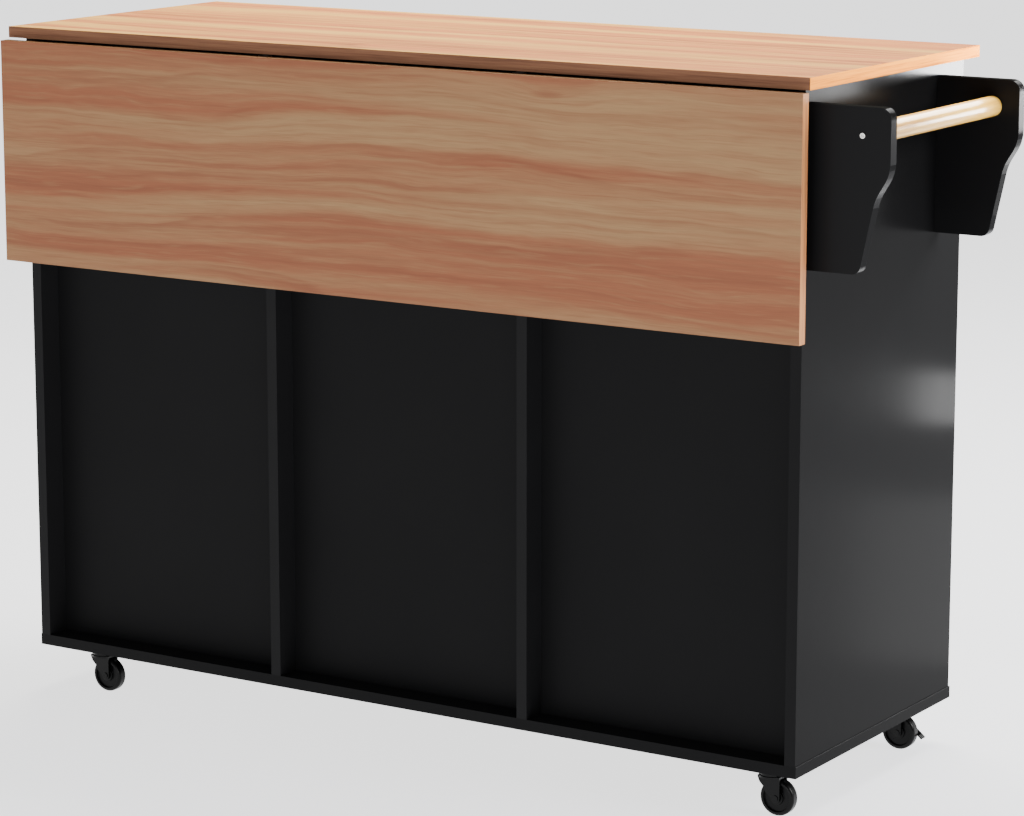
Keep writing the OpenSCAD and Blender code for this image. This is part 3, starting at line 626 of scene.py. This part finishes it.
# Black boards: tone, gloss and roughness, set for what each face mirrors
SIDE_BLACK = BlackBoard("black side laminate", "black_board", 0.004, 0.0125, 0.22)
BACK_BLACK = BlackBoard("black back hardboard", "black_hardboard", 0.006, 0.045, 0.5)
INNER_BLACK = BlackBoard("black inside laminate", "black_board", 0.013, 0.05, 0.4)
FAR_BLACK = BlackBoard("black far laminate", "black_board", 0.0085, 0.04, 0.3)
LIP_BLACK = BlackBoard("black lip edging", "black_board", 0.005, 0.05, 0.3)
EDGE_BLACK = BlackBoard("black edging", "black_board", 0.008, 0.055, 0.42)
# The right side's edging is a darker copy of the black edging: painted shade
SHADED_SEAM_BLACK = BlackBoard("black right edging, painted shade", "black_board", 0.0063, 0.05, 0.42)
FRONT_BLACK = BlackBoard("black front laminate", "black_board", 0.0065, 0.05, 0.3)
BRACKET_BLACK = BlackBoard("black bracket laminate", "black_board", 0.0075, 0.045, 0.3)
# Bracket edgings are copies of one black edging, toned and glossed by the way each face looks: painted
# shade on the slopes and the top, painted highlights on the upright, the curve and the arrises, and a
# fading painted highlight at the bend
SHADED_BRACKET_EDGE = BlackBoard("black bracket edging, painted shade", "black_board", 0.004, 0.005, 0.26)
BRACKET_ARRIS_HIGHLIGHT = BlackBoard("bracket arris, painted highlight", "black_board", 0.03, 0.05, 0.3)
LIT_BRACKET_UPRIGHT = BlackBoard("upright bracket edging, painted light", "black_board", 0.009, 0.018, 0.26)
BRACKET_BEND_FADING_HIGHLIGHT = BlackBoard("bracket bend edging, painted fading highlight", "black_board", 0.006, 0.013, 0.22)
BRACKET_CURVE_HIGHLIGHT = BlackBoard("bracket curve edging, painted highlight", "black_board", 0.008, 0.024, 0.18)
SHADED_BRACKET_TOP = BlackBoard("bracket top edging, painted shade", "black_board", 0.006, 0.0, 0.6)
# The bottom board's upper arris is painted light grey: a painted highlight along its joint with the side
# boards
ARRIS_HIGHLIGHT = BlackBoard("bottom arris, painted highlight", "black_board", 0.07, 0.05, 0.4)
RAIL_WOOD = Turned("varnished rail wood", "pine")
DOWEL_WOOD = Turned("dowel wood", "beech")
# Metals: colour and roughness. Paints and plastics: colour, roughness, gloss, grains per metre, depth
NICKEL = Plated("nickel plate", "nickel", (0.66, 0.65, 0.62), 0.2)
ZINC = Plated("zinc plate", "zinc", (0.50, 0.51, 0.52), 0.34)
ENAMEL = (0.002, 0.002, 0.0021)
HINGE_PAINT = Moulded("black hinge enamel", "black_steel", ENAMEL, 0.5, 0.06, 500.0, 0.08)
CASTER_PAINT = Moulded("black caster enamel", "caster_steel", ENAMEL, 0.24, 0.12, 500.0, 0.08)
CASTER_PLASTIC = Moulded(
    "black lever plastic", "caster_plastic", (0.004, 0.004, 0.0042), 0.36, 0.15, 1200.0, 0.2
)
TYRE = Moulded("black tyre", "caster_rubber", (0.0018, 0.0018, 0.0019), 0.28, 0.1, 700.0, 0.2)
CATCH_PLASTIC = Moulded(
    "white catch plastic", "white_plastic", (0.78, 0.78, 0.76), 0.42, 0.5, 1000.0, 0.1
)
DRAWER_WHITE = Moulded("drawer melamine", "drawer_board", (0.72, 0.70, 0.66), 0.45, 0.4, 1400.0, 0.12)

# Roundings of the pieces' edges, in metres
SCREW_ROUNDING = 0.00015
SHEET_ROUNDING = 0.0003
METAL_ROUNDING = 0.0004
PRINT_ROUNDING = 0.0004
BOARD_ROUNDING = 0.0006
FRONT_ROUNDING = 0.0008
RACK_ROUNDING = 0.0012

# How many faces go round a rounded edge
SEGMENTS = 2
FINE_SEGMENTS = 3

# Vertices closer than this are one, faces that turn less are flat, edges that turn more are rounded
JOIN_DISTANCE = 2e-6
FLAT_TURN = math.radians(0.4)
SHARP_TURN = math.radians(32)
FULL_WEIGHT = 100

DRAWERS = 3


def body_of(node: str) -> str:
    """Finds the body that a CAD node rides on.

    Args:
        node: the node's name.

    Returns:
        The body's name.
    """
    bodies = frame["record"]["behaviour"]["bodies"]
    return next(body for body, nodes in bodies.items() if node in nodes)


def link(name: str, mesh: bpy.types.Mesh) -> bpy.types.Object:
    """Puts a mesh into the scene as an object at the origin."""
    made = bpy.data.objects.new(name, mesh)
    bpy.context.scene.collection.objects.link(made)
    return made


def bake(obj: bpy.types.Object) -> None:
    """Applies an object's modifiers to its mesh.

    Args:
        obj: the object, which keeps its name and materials.
    """
    bpy.context.view_layer.update()
    evaluated = obj.evaluated_get(bpy.context.evaluated_depsgraph_get())
    mesh = bpy.data.meshes.new_from_object(evaluated)
    obj.modifiers.clear()
    obj.data = mesh


def merged(node: str) -> bmesh.types.BMesh:
    """Copies a CAD node's mesh, with its loose triangles joined into flat faces.

    Args:
        node: the node's name.

    Returns:
        The copy, which the caller frees.
    """
    copy = bmesh.new()
    copy.from_mesh(frame["nodes"][node].data)
    bmesh.ops.remove_doubles(copy, verts=copy.verts, dist=JOIN_DISTANCE)
    bmesh.ops.dissolve_limit(copy, angle_limit=FLAT_TURN, verts=copy.verts, edges=copy.edges)
    return copy


def soften(obj: bpy.types.Object, width: float, segments: int) -> None:
    """Rounds an object's sharp edges and smooths its shading.

    Args:
        obj: the object.
        width: the rounding's size in metres.
        segments: how many faces go round an edge.
    """
    for face in obj.data.polygons:
        face.use_smooth = True
    rounding = obj.modifiers.new("rounding", "BEVEL")
    rounding.width = width
    rounding.segments = segments
    rounding.limit_method = "ANGLE"
    rounding.angle_limit = SHARP_TURN
    evening = obj.modifiers.new("evening", "WEIGHTED_NORMAL")
    evening.mode = "FACE_AREA"
    evening.weight = FULL_WEIGHT
    evening.keep_sharp = True
    bake(obj)


def adopt(obj: bpy.types.Object, body: str, slot: str, *nodes: str) -> bpy.types.Object:
    """Makes a finished piece ride on a body and stand for CAD nodes.

    Args:
        obj: the piece.
        body: the body that it rides on.
        slot: the record's material slot; not used.
        *nodes: the CAD nodes that it stands for.

    Returns:
        The piece.
    """
    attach(obj, body)
    if nodes:
        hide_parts(*nodes)
    LOG.info("%s rides on %s with %d faces", obj.name, body, len(obj.data.polygons))
    return obj


Test = Callable[[Vector], bool]
Rule = tuple[Finish, Test]


@dataclass
class Dressed:
    """A CAD node's copy with rounded edges and its finishes."""

    node: str
    finish: Finish
    rounding: float
    segments: int = SEGMENTS
    rules: Sequence[Rule] = ()

    def build(self) -> bpy.types.Object:
        """Makes the piece and puts it in the node's place.

        Returns:
            The piece.
        """
        copy = merged(self.node)
        mesh = bpy.data.meshes.new(f"{self.node}_mesh")
        copy.to_mesh(mesh)
        copy.free()
        piece = link(f"{self.node}_dressed", mesh)
        soften(piece, self.rounding, self.segments)
        self.paint(piece)
        return adopt(piece, body_of(self.node), self.finish.slot, self.node)

    def paint(self, piece: bpy.types.Object) -> None:
        """Gives each face the first finish whose rule takes its normal.

        Args:
            piece: the piece to paint.
        """
        piece.data.materials.clear()
        piece.data.materials.append(self.finish.material())
        for finish, _ in self.rules:
            piece.data.materials.append(finish.material())
        for face in piece.data.polygons:
            face.material_index = 0
            for index, (_, takes) in enumerate(self.rules, start=1):
                if takes(face.normal):
                    face.material_index = index
                    break


class ScrewTree:
    """A Geometry Nodes tree that sets a turned screw with a cross recess at each point, along its aim."""

    NAME = "turned screws"
    HEAD_SIDES = 28
    SHANK_SIDES = 20
    SIZES = (
        "Face Radius",
        "Foot Radius",
        "Head Depth",
        "Neck Radius",
        "Neck Length",
        "Shank Radius",
        "Length",
        "Bar Reach",
        "Bar Width",
        "Recess Depth",
    )

    def __init__(self) -> None:
        """Builds the tree, or finds it."""
        self.tree = bpy.data.node_groups.get(self.NAME) or self.grow()

    def grow(self) -> bpy.types.NodeTree:
        """Builds the tree.

        Returns:
            The tree, with a named input for each size.
        """
        tree = bpy.data.node_groups.new(self.NAME, "GeometryNodeTree")
        face = tree.interface
        face.new_socket("Geometry", in_out="INPUT", socket_type="NodeSocketGeometry")
        for name in self.SIZES:
            face.new_socket(name, in_out="INPUT", socket_type="NodeSocketFloat")
        face.new_socket("Seed", in_out="INPUT", socket_type="NodeSocketInt")
        face.new_socket("Material", in_out="INPUT", socket_type="NodeSocketMaterial")
        face.new_socket("Geometry", in_out="OUTPUT", socket_type="NodeSocketGeometry")
        graph = Graph(tree)
        given = graph.node("NodeGroupInput").outputs
        under = graph.math("ADD", given["Head Depth"], given["Neck Length"])
        parts = [self.head(graph, given)]
        for name, top, length in (
            ("Neck Radius", given["Head Depth"], given["Neck Length"]),
            ("Shank Radius", under, graph.math("SUBTRACT", given["Length"], under)),
        ):
            rod = graph.node("GeometryNodeMeshCylinder")
            graph.feed(rod, Vertices=self.SHANK_SIDES, Radius=given[name], Depth=length)
            middle = graph.math("ADD", top, graph.math("MULTIPLY", length, 0.5))
            parts.append(self.lowered(graph, rod.outputs[0], middle))
        whole = graph.node("GeometryNodeJoinGeometry")
        for part in parts:
            tree.links.new(part, whole.inputs[0])
        aim = graph.node("GeometryNodeInputNamedAttribute", data_type="FLOAT_VECTOR")
        graph.feed(aim, Name="aim")
        turn = graph.node("FunctionNodeAlignRotationToVector", axis="Z")
        graph.feed(turn, Vector=aim.outputs[0])
        chance = graph.node("FunctionNodeRandomValue", data_type="FLOAT")
        graph.feed(chance, i2=0.0, i3=math.pi, Seed=given["Seed"])
        spin = graph.node("FunctionNodeAxisAngleToRotation")
        graph.feed(spin, Axis=(0.0, 0.0, 1.0), Angle=chance.outputs[1])
        turned = graph.node("FunctionNodeRotateRotation", rotation_space="LOCAL")
        graph.feed(turned, i0=turn.outputs[0], i1=spin.outputs[0])
        copies = graph.node("GeometryNodeInstanceOnPoints")
        graph.feed(copies, Points=given["Geometry"], Instance=whole.outputs[0], Rotation=turned.outputs[0])
        real = graph.feed(graph.node("GeometryNodeRealizeInstances"), Geometry=copies.outputs[0])
        dressed = graph.node("GeometryNodeSetMaterial")
        graph.feed(dressed, Geometry=real.outputs[0], Material=given["Material"])
        graph.feed(graph.node("NodeGroupOutput"), i0=dressed.outputs[0])
        return tree

    def head(self, graph: Graph, given: bpy.types.NodeOutputs) -> Socket:
        """Makes the head, its face at the origin, with the recess cut into it.

        Args:
            graph: the tree.
            given: the tree's inputs.

        Returns:
            The head's geometry.
        """
        cone = graph.node("GeometryNodeMeshCone")
        graph.feed(cone, Vertices=self.HEAD_SIDES, Depth=given["Head Depth"])
        graph.feed(cone, Radius_Top=given["Face Radius"], Radius_Bottom=given["Foot Radius"])
        cut = graph.node("GeometryNodeMeshBoolean", operation="DIFFERENCE", solver="EXACT")
        graph.feed(cut, Mesh_1=self.lowered(graph, cone.outputs[0], given["Head Depth"]))
        reach = graph.math("MULTIPLY", given["Bar Reach"], 2.0)
        depth = graph.math("MULTIPLY", given["Recess Depth"], 2.0)
        for size in ((reach, given["Bar Width"]), (given["Bar Width"], reach)):
            bar = graph.feed(graph.node("GeometryNodeMeshCube"), Size=graph.combine(*size, depth))
            graph.tree.links.new(bar.outputs[0], cut.inputs[1])
        return cut.outputs[0]

    def lowered(self, graph: Graph, shape: Socket, drop: Socket) -> Socket:
        """Moves a shape down along Z by a length."""
        place = graph.combine(0.0, 0.0, graph.math("MULTIPLY", drop, -1.0))
        return graph.feed(graph.node("GeometryNodeTransform"), Geometry=shape, Translation=place).outputs[0]


@dataclass(frozen=True)
class ScrewForm:
    """A kind of screw: its sizes in metres, from its head's face down."""

    face: float
    foot: float
    head: float
    neck: Pair
    shank: float
    length: float
    recess: Triple

    def values(self) -> dict[str, float]:
        """Gives the sizes under the names of the tree's inputs."""
        sizes = (self.face, self.foot, self.head, *self.neck, self.shank, self.length, *self.recess)
        return dict(zip(ScrewTree.SIZES, sizes))


@dataclass
class Screws:
    """All screws of a CAD node, made anew with driver recesses."""

    node: str
    finish: Finish
    forms: Sequence[ScrewForm]

    SEED: ClassVar = 7
    END_DEPTH: ClassVar = 1e-5

    def build(self) -> bpy.types.Object:
        """Makes the screws as one piece.

        Returns:
            The piece.
        """
        places: dict[ScrewForm, list[Seat]] = {form: [] for form in self.forms}
        for length, face, aim in self.found():
            places[min(self.forms, key=lambda form: abs(form.length - length))].append((face, aim))
        whole = bmesh.new()
        for form, seats in places.items():
            made = self.grown(form, seats)
            whole.from_mesh(made.data)
            bpy.data.objects.remove(made)
        mesh = bpy.data.meshes.new(f"{self.node}_mesh")
        whole.to_mesh(mesh)
        whole.free()
        mesh.materials.append(self.finish.material())
        piece = link(f"{self.node}_dressed", mesh)
        soften(piece, SCREW_ROUNDING, SEGMENTS)
        return adopt(piece, body_of(self.node), self.finish.slot, self.node)

    def grown(self, form: ScrewForm, seats: Sequence[Seat]) -> bpy.types.Object:
        """Runs the tree on one kind of screw.

        Args:
            form: the kind.
            seats: the middle of each head's face and the way it looks.

        Returns:
            An object with the screws' plain mesh.
        """
        mesh = bpy.data.meshes.new("seats")
        mesh.from_pydata([face for face, _ in seats], [], [])
        aims = mesh.attributes.new("aim", "FLOAT_VECTOR", "POINT")
        aims.data.foreach_set("vector", [number for _, aim in seats for number in aim])
        points = link("seats", mesh)
        modifier = points.modifiers.new("screws", "NODES")
        modifier.node_group = ScrewTree().tree
        given: dict[str, object] = {**form.values(), "Seed": self.SEED, "Material": self.finish.material()}
        for socket in modifier.node_group.interface.items_tree:
            if socket.item_type == "SOCKET" and socket.in_out == "INPUT" and socket.name in given:
                modifier[socket.identifier] = given[socket.name]
        bake(points)
        return points

    def found(self) -> list[tuple[float, Vector, Vector]]:
        """Finds the node's screws.

        Returns:
            Each one's length, the middle of its head's face, and the way the head looks.
        """
        copy = merged(self.node)
        left = set(copy.verts)
        screws = []
        while left:
            island, edge = set(), [left.pop()]
            while edge:
                vertex = edge.pop()
                island.add(vertex)
                near = {link_edge.other_vert(vertex) for link_edge in vertex.link_edges} & left
                left -= near
                edge.extend(near)
            screws.append(self.measured([vertex.co.copy() for vertex in island]))
        copy.free()
        return sorted(screws, key=lambda screw: tuple(screw[1]))

    @staticmethod
    def measured(points: Sequence[Vector]) -> tuple[float, Vector, Vector]:
        """Measures one screw from its vertices.

        Args:
            points: the vertices' places.

        Returns:
            Its length, the middle of its head's face, and the way the head looks.
        """
        low = Vector(min(point[axis] for point in points) for axis in range(3))
        high = Vector(max(point[axis] for point in points) for axis in range(3))
        size = high - low
        axis = max(range(3), key=lambda index: size[index])
        across = [index for index in range(3) if index != axis]
        middle = (low + high) / 2
        centre = [middle[index] for index in across]
        ends = []
        for way, limit in ((-1, low[axis]), (1, high[axis])):
            ring = [point for point in points if abs(point[axis] - limit) < Screws.END_DEPTH]
            wide = max(math.dist([point[index] for index in across], centre) for point in ring)
            face = middle.copy()
            face[axis] = limit
            aim = Vector((0.0, 0.0, 0.0))
            aim[axis] = way
            ends.append((wide, face, aim))
        _, face, aim = max(ends, key=lambda end: end[0])
        return size[axis], face, aim


# Shares of a face's normal along an axis
MOSTLY = 0.75
OUTWARD = 0.3
FLAT = 0.95
ROUNDED = (0.2, 0.93)


def facing(axis: Axis, way: Optional[int] = None, limit: float = MOSTLY) -> Test:
    """Makes a test for faces that look along an axis.

    Args:
        axis: the axis.
        way: 1 or -1 for one way only, or None for both.
        limit: the least share of the normal along the axis.

    Returns:
        The test.
    """

    def takes(normal: Vector) -> bool:
        """Tells whether the face's normal lies along the axis."""
        share = normal[axis.value]
        return abs(share) > limit if way is None else way * share > limit

    return takes


def outer(low: float, high: float) -> Test:
    """Makes a test for faces that look out along X, with the normal's Z between two numbers."""
    return lambda normal: normal.x > OUTWARD and low < normal.z < high


# Screws: radii and lengths in metres, and the recess's reach, bar width and depth
SUNK_SCREW = ScrewForm(
    face=0.003,
    foot=0.0015,
    head=0.0015,
    neck=(0.0015, 0.002),
    shank=0.0015,
    length=0.012,
    recess=(0.0016, 0.0006, 0.0009),
)
BRACKET_SCREW = ScrewForm(
    face=0.005,
    foot=0.0025,
    head=0.0025,
    neck=(0.0025, 0.004),
    shank=0.0025,
    length=0.045,
    recess=(0.0027, 0.001, 0.0016),
)
RAIL_SCREW = ScrewForm(
    face=0.0034,
    foot=0.004,
    head=0.002,
    neck=(0.002, 0.004),
    shank=0.002,
    length=0.042,
    recess=(0.0018, 0.0009, 0.0012),
)
PANEL_SCREW = ScrewForm(
    face=0.005,
    foot=0.0034,
    head=0.004,
    neck=(0.0034, 0.011),
    shank=0.0024,
    length=0.05,
    recess=(0.0026, 0.0011, 0.0022),
)


@dataclass(frozen=True)
class Lamp:
    """A soft rectangular light: where it stands, what it looks at, its size in metres and its watts."""

    name: str
    place: Sequence[float]
    target: Sequence[float]
    size: Pair
    power: float
    colour: Colour = (1.0, 1.0, 1.0)

    def build(self) -> None:
        """Makes the light."""
        data = bpy.data.lights.new(self.name, "AREA")
        data.color = self.colour
        data.shape = "RECTANGLE"
        data.size, data.size_y = self.size
        data.energy = self.power
        light = bpy.data.objects.new(self.name, data)
        light.location = self.place
        light.rotation_mode = "QUATERNION"
        aim = Vector(self.target) - Vector(self.place)
        light.rotation_quaternion = aim.to_track_quat("-Z", "Y")
        bpy.context.scene.collection.objects.link(light)


@dataclass(frozen=True)
class Glow:
    """A light that the right side board mirrors to the camera, at a spot (Y and Z) on the board's plane."""

    name: str
    spot: Pair
    distance: float
    size: Pair
    power: float

    def build(self, eye: Vector, plane: float) -> None:
        """Makes the light.

        Args:
            eye: the camera's place.
            plane: the X of the board's face.
        """
        spot = Vector((plane, *self.spot))
        ray = (spot - eye).normalized()
        place = spot + self.distance * Vector((-ray.x, ray.y, ray.z))
        Lamp(self.name, place, spot, self.size, self.power).build()


LAMPS = (
    Lamp("overhead", (-0.2, 1.3, 3.1), (-0.1, 0.3, 0.9), (2.8, 1.4), 505.0, (1.0, 0.95, 0.74)),
    Lamp("low fill", (0.6, -4.2, 0.5), (0.0, 0.0, 0.35), (1.6, 0.7), 55.0),
    Lamp("right", (3.8, 0.6, 2.0), (0.4, 0.1, 0.8), (1.4, 1.4), 260.0),
    Lamp("back top", (0.7, 2.9, 2.5), (0.6, 0.1, 0.8), (1.6, 1.1), 150.0),
)
GLOWS = (
    Glow("side glow", (0.26, 0.21), 0.35, (0.32, 0.24), 0.55),
    Glow("gap glow", (0.0, 0.79), 0.2, (0.05, 0.1), 0.05),
    Glow("spot glow", (0.2, 0.468), 0.3, (0.08, 0.07), 0.3),
    Glow("strip glow", (0.2, 0.9), 0.25, (0.12, 0.05), 5.5),
    Glow("rack glow", (-0.125, 0.9), 0.45, (0.1, 0.08), 1.1),
)


@dataclass
class Studio:
    """The camera at the photograph's place, the floor and the soft lights."""

    camera_from_top: Triple = (2.5644, -3.7402, 0.4505)
    look: Triple = (-0.52455, 0.82824, -0.19716)
    lens: float = 126.17
    sensor: float = 36.0
    clip: Pair = (0.1, 200.0)
    floor_reach: float = 45.0
    floor_colour: Colour = (0.2, 0.208, 0.25)
    floor_glow: float = 1.9
    sky_glow: float = 0.3

    def build(self) -> None:
        """Makes the camera, the floor, the world and the lights."""
        eye = self.camera()
        self.floor()
        self.world()
        for lamp in LAMPS:
            lamp.build()
        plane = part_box("right_side")[1].x
        for glow in GLOWS:
            glow.build(eye, plane)

    def camera(self) -> Vector:
        """Makes the camera, placed from the middle of the worktop's long edge.

        Returns:
            The camera's place.
        """
        low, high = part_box("worktop")
        corner = Vector(((low.x + high.x) / 2, low.y, high.z))
        data = bpy.data.cameras.new("camera")
        data.lens, data.sensor_width = self.lens, self.sensor
        data.clip_start, data.clip_end = self.clip
        camera = bpy.data.objects.new("camera", data)
        camera.location = corner + Vector(self.camera_from_top)
        camera.rotation_mode = "QUATERNION"
        camera.rotation_quaternion = Vector(self.look).to_track_quat("-Z", "Y")
        bpy.context.scene.collection.objects.link(camera)
        bpy.context.scene.camera = camera
        return camera.location

    def floor(self) -> None:
        """Makes the plain pale floor, which glows a little."""
        mesh = bpy.data.meshes.new("floor")
        reach = self.floor_reach
        corners = [(reach * x, reach * y, 0.0) for x, y in ((-1, -1), (1, -1), (1, 1), (-1, 1))]
        mesh.from_pydata(corners, [], [(0, 1, 2, 3)])
        floor = link("floor", mesh)
        material = bpy.data.materials.new("pale floor")
        material.use_nodes = True
        shader = material.node_tree.nodes["Principled BSDF"]
        graph = Graph(material.node_tree)
        graph.feed(shader, Base_Color=self.floor_colour, Roughness=1.0, Specular_IOR_Level=0.0)
        graph.feed(shader, Emission_Color=(1.0, 1.0, 1.0), Emission_Strength=self.floor_glow)
        mesh.materials.append(material)

    def world(self) -> None:
        """Makes the soft white surroundings."""
        world = bpy.data.worlds.new("studio")
        world.use_nodes = True
        sky = world.node_tree.nodes["Background"]
        Graph(world.node_tree).feed(sky, Color=(1.0, 1.0, 1.0), Strength=self.sky_glow)
        bpy.context.scene.world = world


class WoodBoards:
    """The worktop and the drop leaf."""

    def build(self) -> None:
        """Makes both boards with their end edging."""
        # The worktop's underside takes the leaf's darker print: painted shade under the worktop
        under = (SHADED_LEAF_PRINT, facing(Axis.Z, -1))
        top_rules = ((LIT_TOP_END, facing(Axis.X)), (SHADED_TOP_EDGE, facing(Axis.Y)), under)
        Dressed("worktop", LIT_TOP_PRINT, PRINT_ROUNDING, FINE_SEGMENTS, top_rules).build()
        leaf_rules = ((LEAF_END, facing(Axis.X)), (SHADED_LEAF_SEAM, facing(Axis.Z, 1, OUTWARD)))
        Dressed("leaf_panel", SHADED_LEAF_PRINT, PRINT_ROUNDING, FINE_SEGMENTS, leaf_rules).build()


class Cabinet:
    """The black boards and what is hidden in them."""

    def build(self) -> None:
        """Makes the boards, the back panels, the shelves and their pins."""
        edges = (EDGE_BLACK, facing(Axis.Y))
        for node in ("left_divider", "right_divider"):
            Dressed(node, INNER_BLACK, BOARD_ROUNDING, rules=(edges,)).build()
        lip = (LIP_BLACK, facing(Axis.Y))
        deck = (INNER_BLACK, facing(Axis.Z, 1, FLAT))
        # The arris at the bottom board's ends gets a painted highlight
        arris: Rule = (ARRIS_HIGHLIGHT, lambda normal: normal.z > OUTWARD and abs(normal.x) > OUTWARD)
        Dressed("bottom_panel", SIDE_BLACK, BOARD_ROUNDING, rules=(lip, deck, arris)).build()
        for node, finish, way, edge in (
            ("left_side", FAR_BLACK, 1, EDGE_BLACK),
            ("right_side", SIDE_BLACK, -1, SHADED_SEAM_BLACK),
        ):
            rules = ((edge, facing(Axis.Y)), (INNER_BLACK, facing(Axis.X, way)))
            Dressed(node, finish, BOARD_ROUNDING, rules=rules).build()
        Dressed("back_panels", BACK_BLACK, PRINT_ROUNDING).build()
        Dressed("shelves", INNER_BLACK, BOARD_ROUNDING).build()
        Dressed("shelf_pins", NICKEL, METAL_ROUNDING).build()
        Dressed("panel_dowels", DOWEL_WOOD, BOARD_ROUNDING).build()
        Dressed("cam_fittings", ZINC, SHEET_ROUNDING).build()
        Screws("bottom_screws", ZINC, (PANEL_SCREW,)).build()


class TowelRack:
    """The two brackets, the rail and its screws."""

    def build(self) -> None:
        """Makes the rack's pieces."""
        # Each facing of the bracket edges takes its own copy: painted highlights and painted shade by
        # direction
        low, high = ROUNDED
        rules = (
            (BRACKET_ARRIS_HIGHLIGHT, lambda normal: low < abs(normal.y) < high and normal.z < OUTWARD),
            (BRACKET_CURVE_HIGHLIGHT, outer(-0.9, -0.4)),
            (BRACKET_BEND_FADING_HIGHLIGHT, outer(-0.4, -0.22)),
            (LIT_BRACKET_UPRIGHT, outer(-0.06, 0.06)),
            (SHADED_BRACKET_EDGE, outer(-0.9, 0.9)),
            (SHADED_BRACKET_TOP, facing(Axis.Z)),
        )
        for node in ("towel_bracket_back", "towel_bracket_front"):
            Dressed(node, BRACKET_BLACK, RACK_ROUNDING, FINE_SEGMENTS, rules).build()
        Dressed("towel_rail", RAIL_WOOD, RACK_ROUNDING, FINE_SEGMENTS).build()
        Screws("towel_screws", NICKEL, (RAIL_SCREW, BRACKET_SCREW)).build()


class Fronts:
    """The doors and the drawers."""

    def build(self) -> None:
        """Makes the doors, the drawers, their knobs and their metalwork."""
        for side in ("left", "right"):
            Dressed(f"{side}_door_panel", FRONT_BLACK, FRONT_ROUNDING).build()
            Dressed(f"{side}_door_metalwork", NICKEL, SHEET_ROUNDING).build()
            Dressed(f"{side}_door_knob", NICKEL, METAL_ROUNDING).build()
        for number in range(1, DRAWERS + 1):
            Dressed(f"drawer_{number}_front", FRONT_BLACK, FRONT_ROUNDING).build()
            Dressed(f"drawer_{number}_box", DRAWER_WHITE, BOARD_ROUNDING).build()
            Dressed(f"drawer_{number}_runners", ZINC, SHEET_ROUNDING).build()
            Dressed(f"drawer_{number}_knob", NICKEL, METAL_ROUNDING).build()
        Dressed("cabinet_runners", ZINC, SHEET_ROUNDING).build()
        Dressed("door_hinge_plates", NICKEL, SHEET_ROUNDING).build()
        Dressed("door_catches", CATCH_PLASTIC, FRONT_ROUNDING, FINE_SEGMENTS).build()


class LeafSupports:
    """The leaf's hinges and its two folding supports."""

    def build(self) -> None:
        """Makes the hinges, the channels and the struts."""
        for node in ("leaf_hinge_plates", "leaf_hinge_leaves", "hinge_pins"):
            Dressed(node, HINGE_PAINT, SHEET_ROUNDING).build()
        for node in ("support_wall_legs", "support_arms"):
            Dressed(node, ZINC, SHEET_ROUNDING).build()
        for node in ("left_strut", "right_strut"):
            Dressed(node, ZINC, METAL_ROUNDING).build()
        for node in ("wood_screws", "leaf_screws"):
            Screws(node, ZINC, (SUNK_SCREW,)).build()


class Casters:
    """The four swivel casters."""

    def build(self) -> None:
        """Makes the plates, forks, wheels and brake levers."""
        Dressed("caster_plates", CASTER_PAINT, METAL_ROUNDING).build()
        for end in ("left", "right"):
            for row in ("back", "front"):
                Dressed(f"{row}_{end}_fork", CASTER_PAINT, METAL_ROUNDING).build()
                Dressed(f"{row}_{end}_wheel", TYRE, BOARD_ROUNDING, FINE_SEGMENTS).build()
            Dressed(f"front_{end}_brake", CASTER_PLASTIC, SHEET_ROUNDING).build()


def main() -> None:
    """Builds the studio and the table's sub-assemblies, in order."""
    logging.basicConfig(level=logging.INFO, format="%(name)s: %(message)s")
    Studio().build()
    for assembly in (WoodBoards(), Cabinet(), TowelRack(), Fronts(), LeafSupports(), Casters()):
        assembly.build()
        LOG.info("%s is done", type(assembly).__name__)


if __name__ == "__main__":
    main()
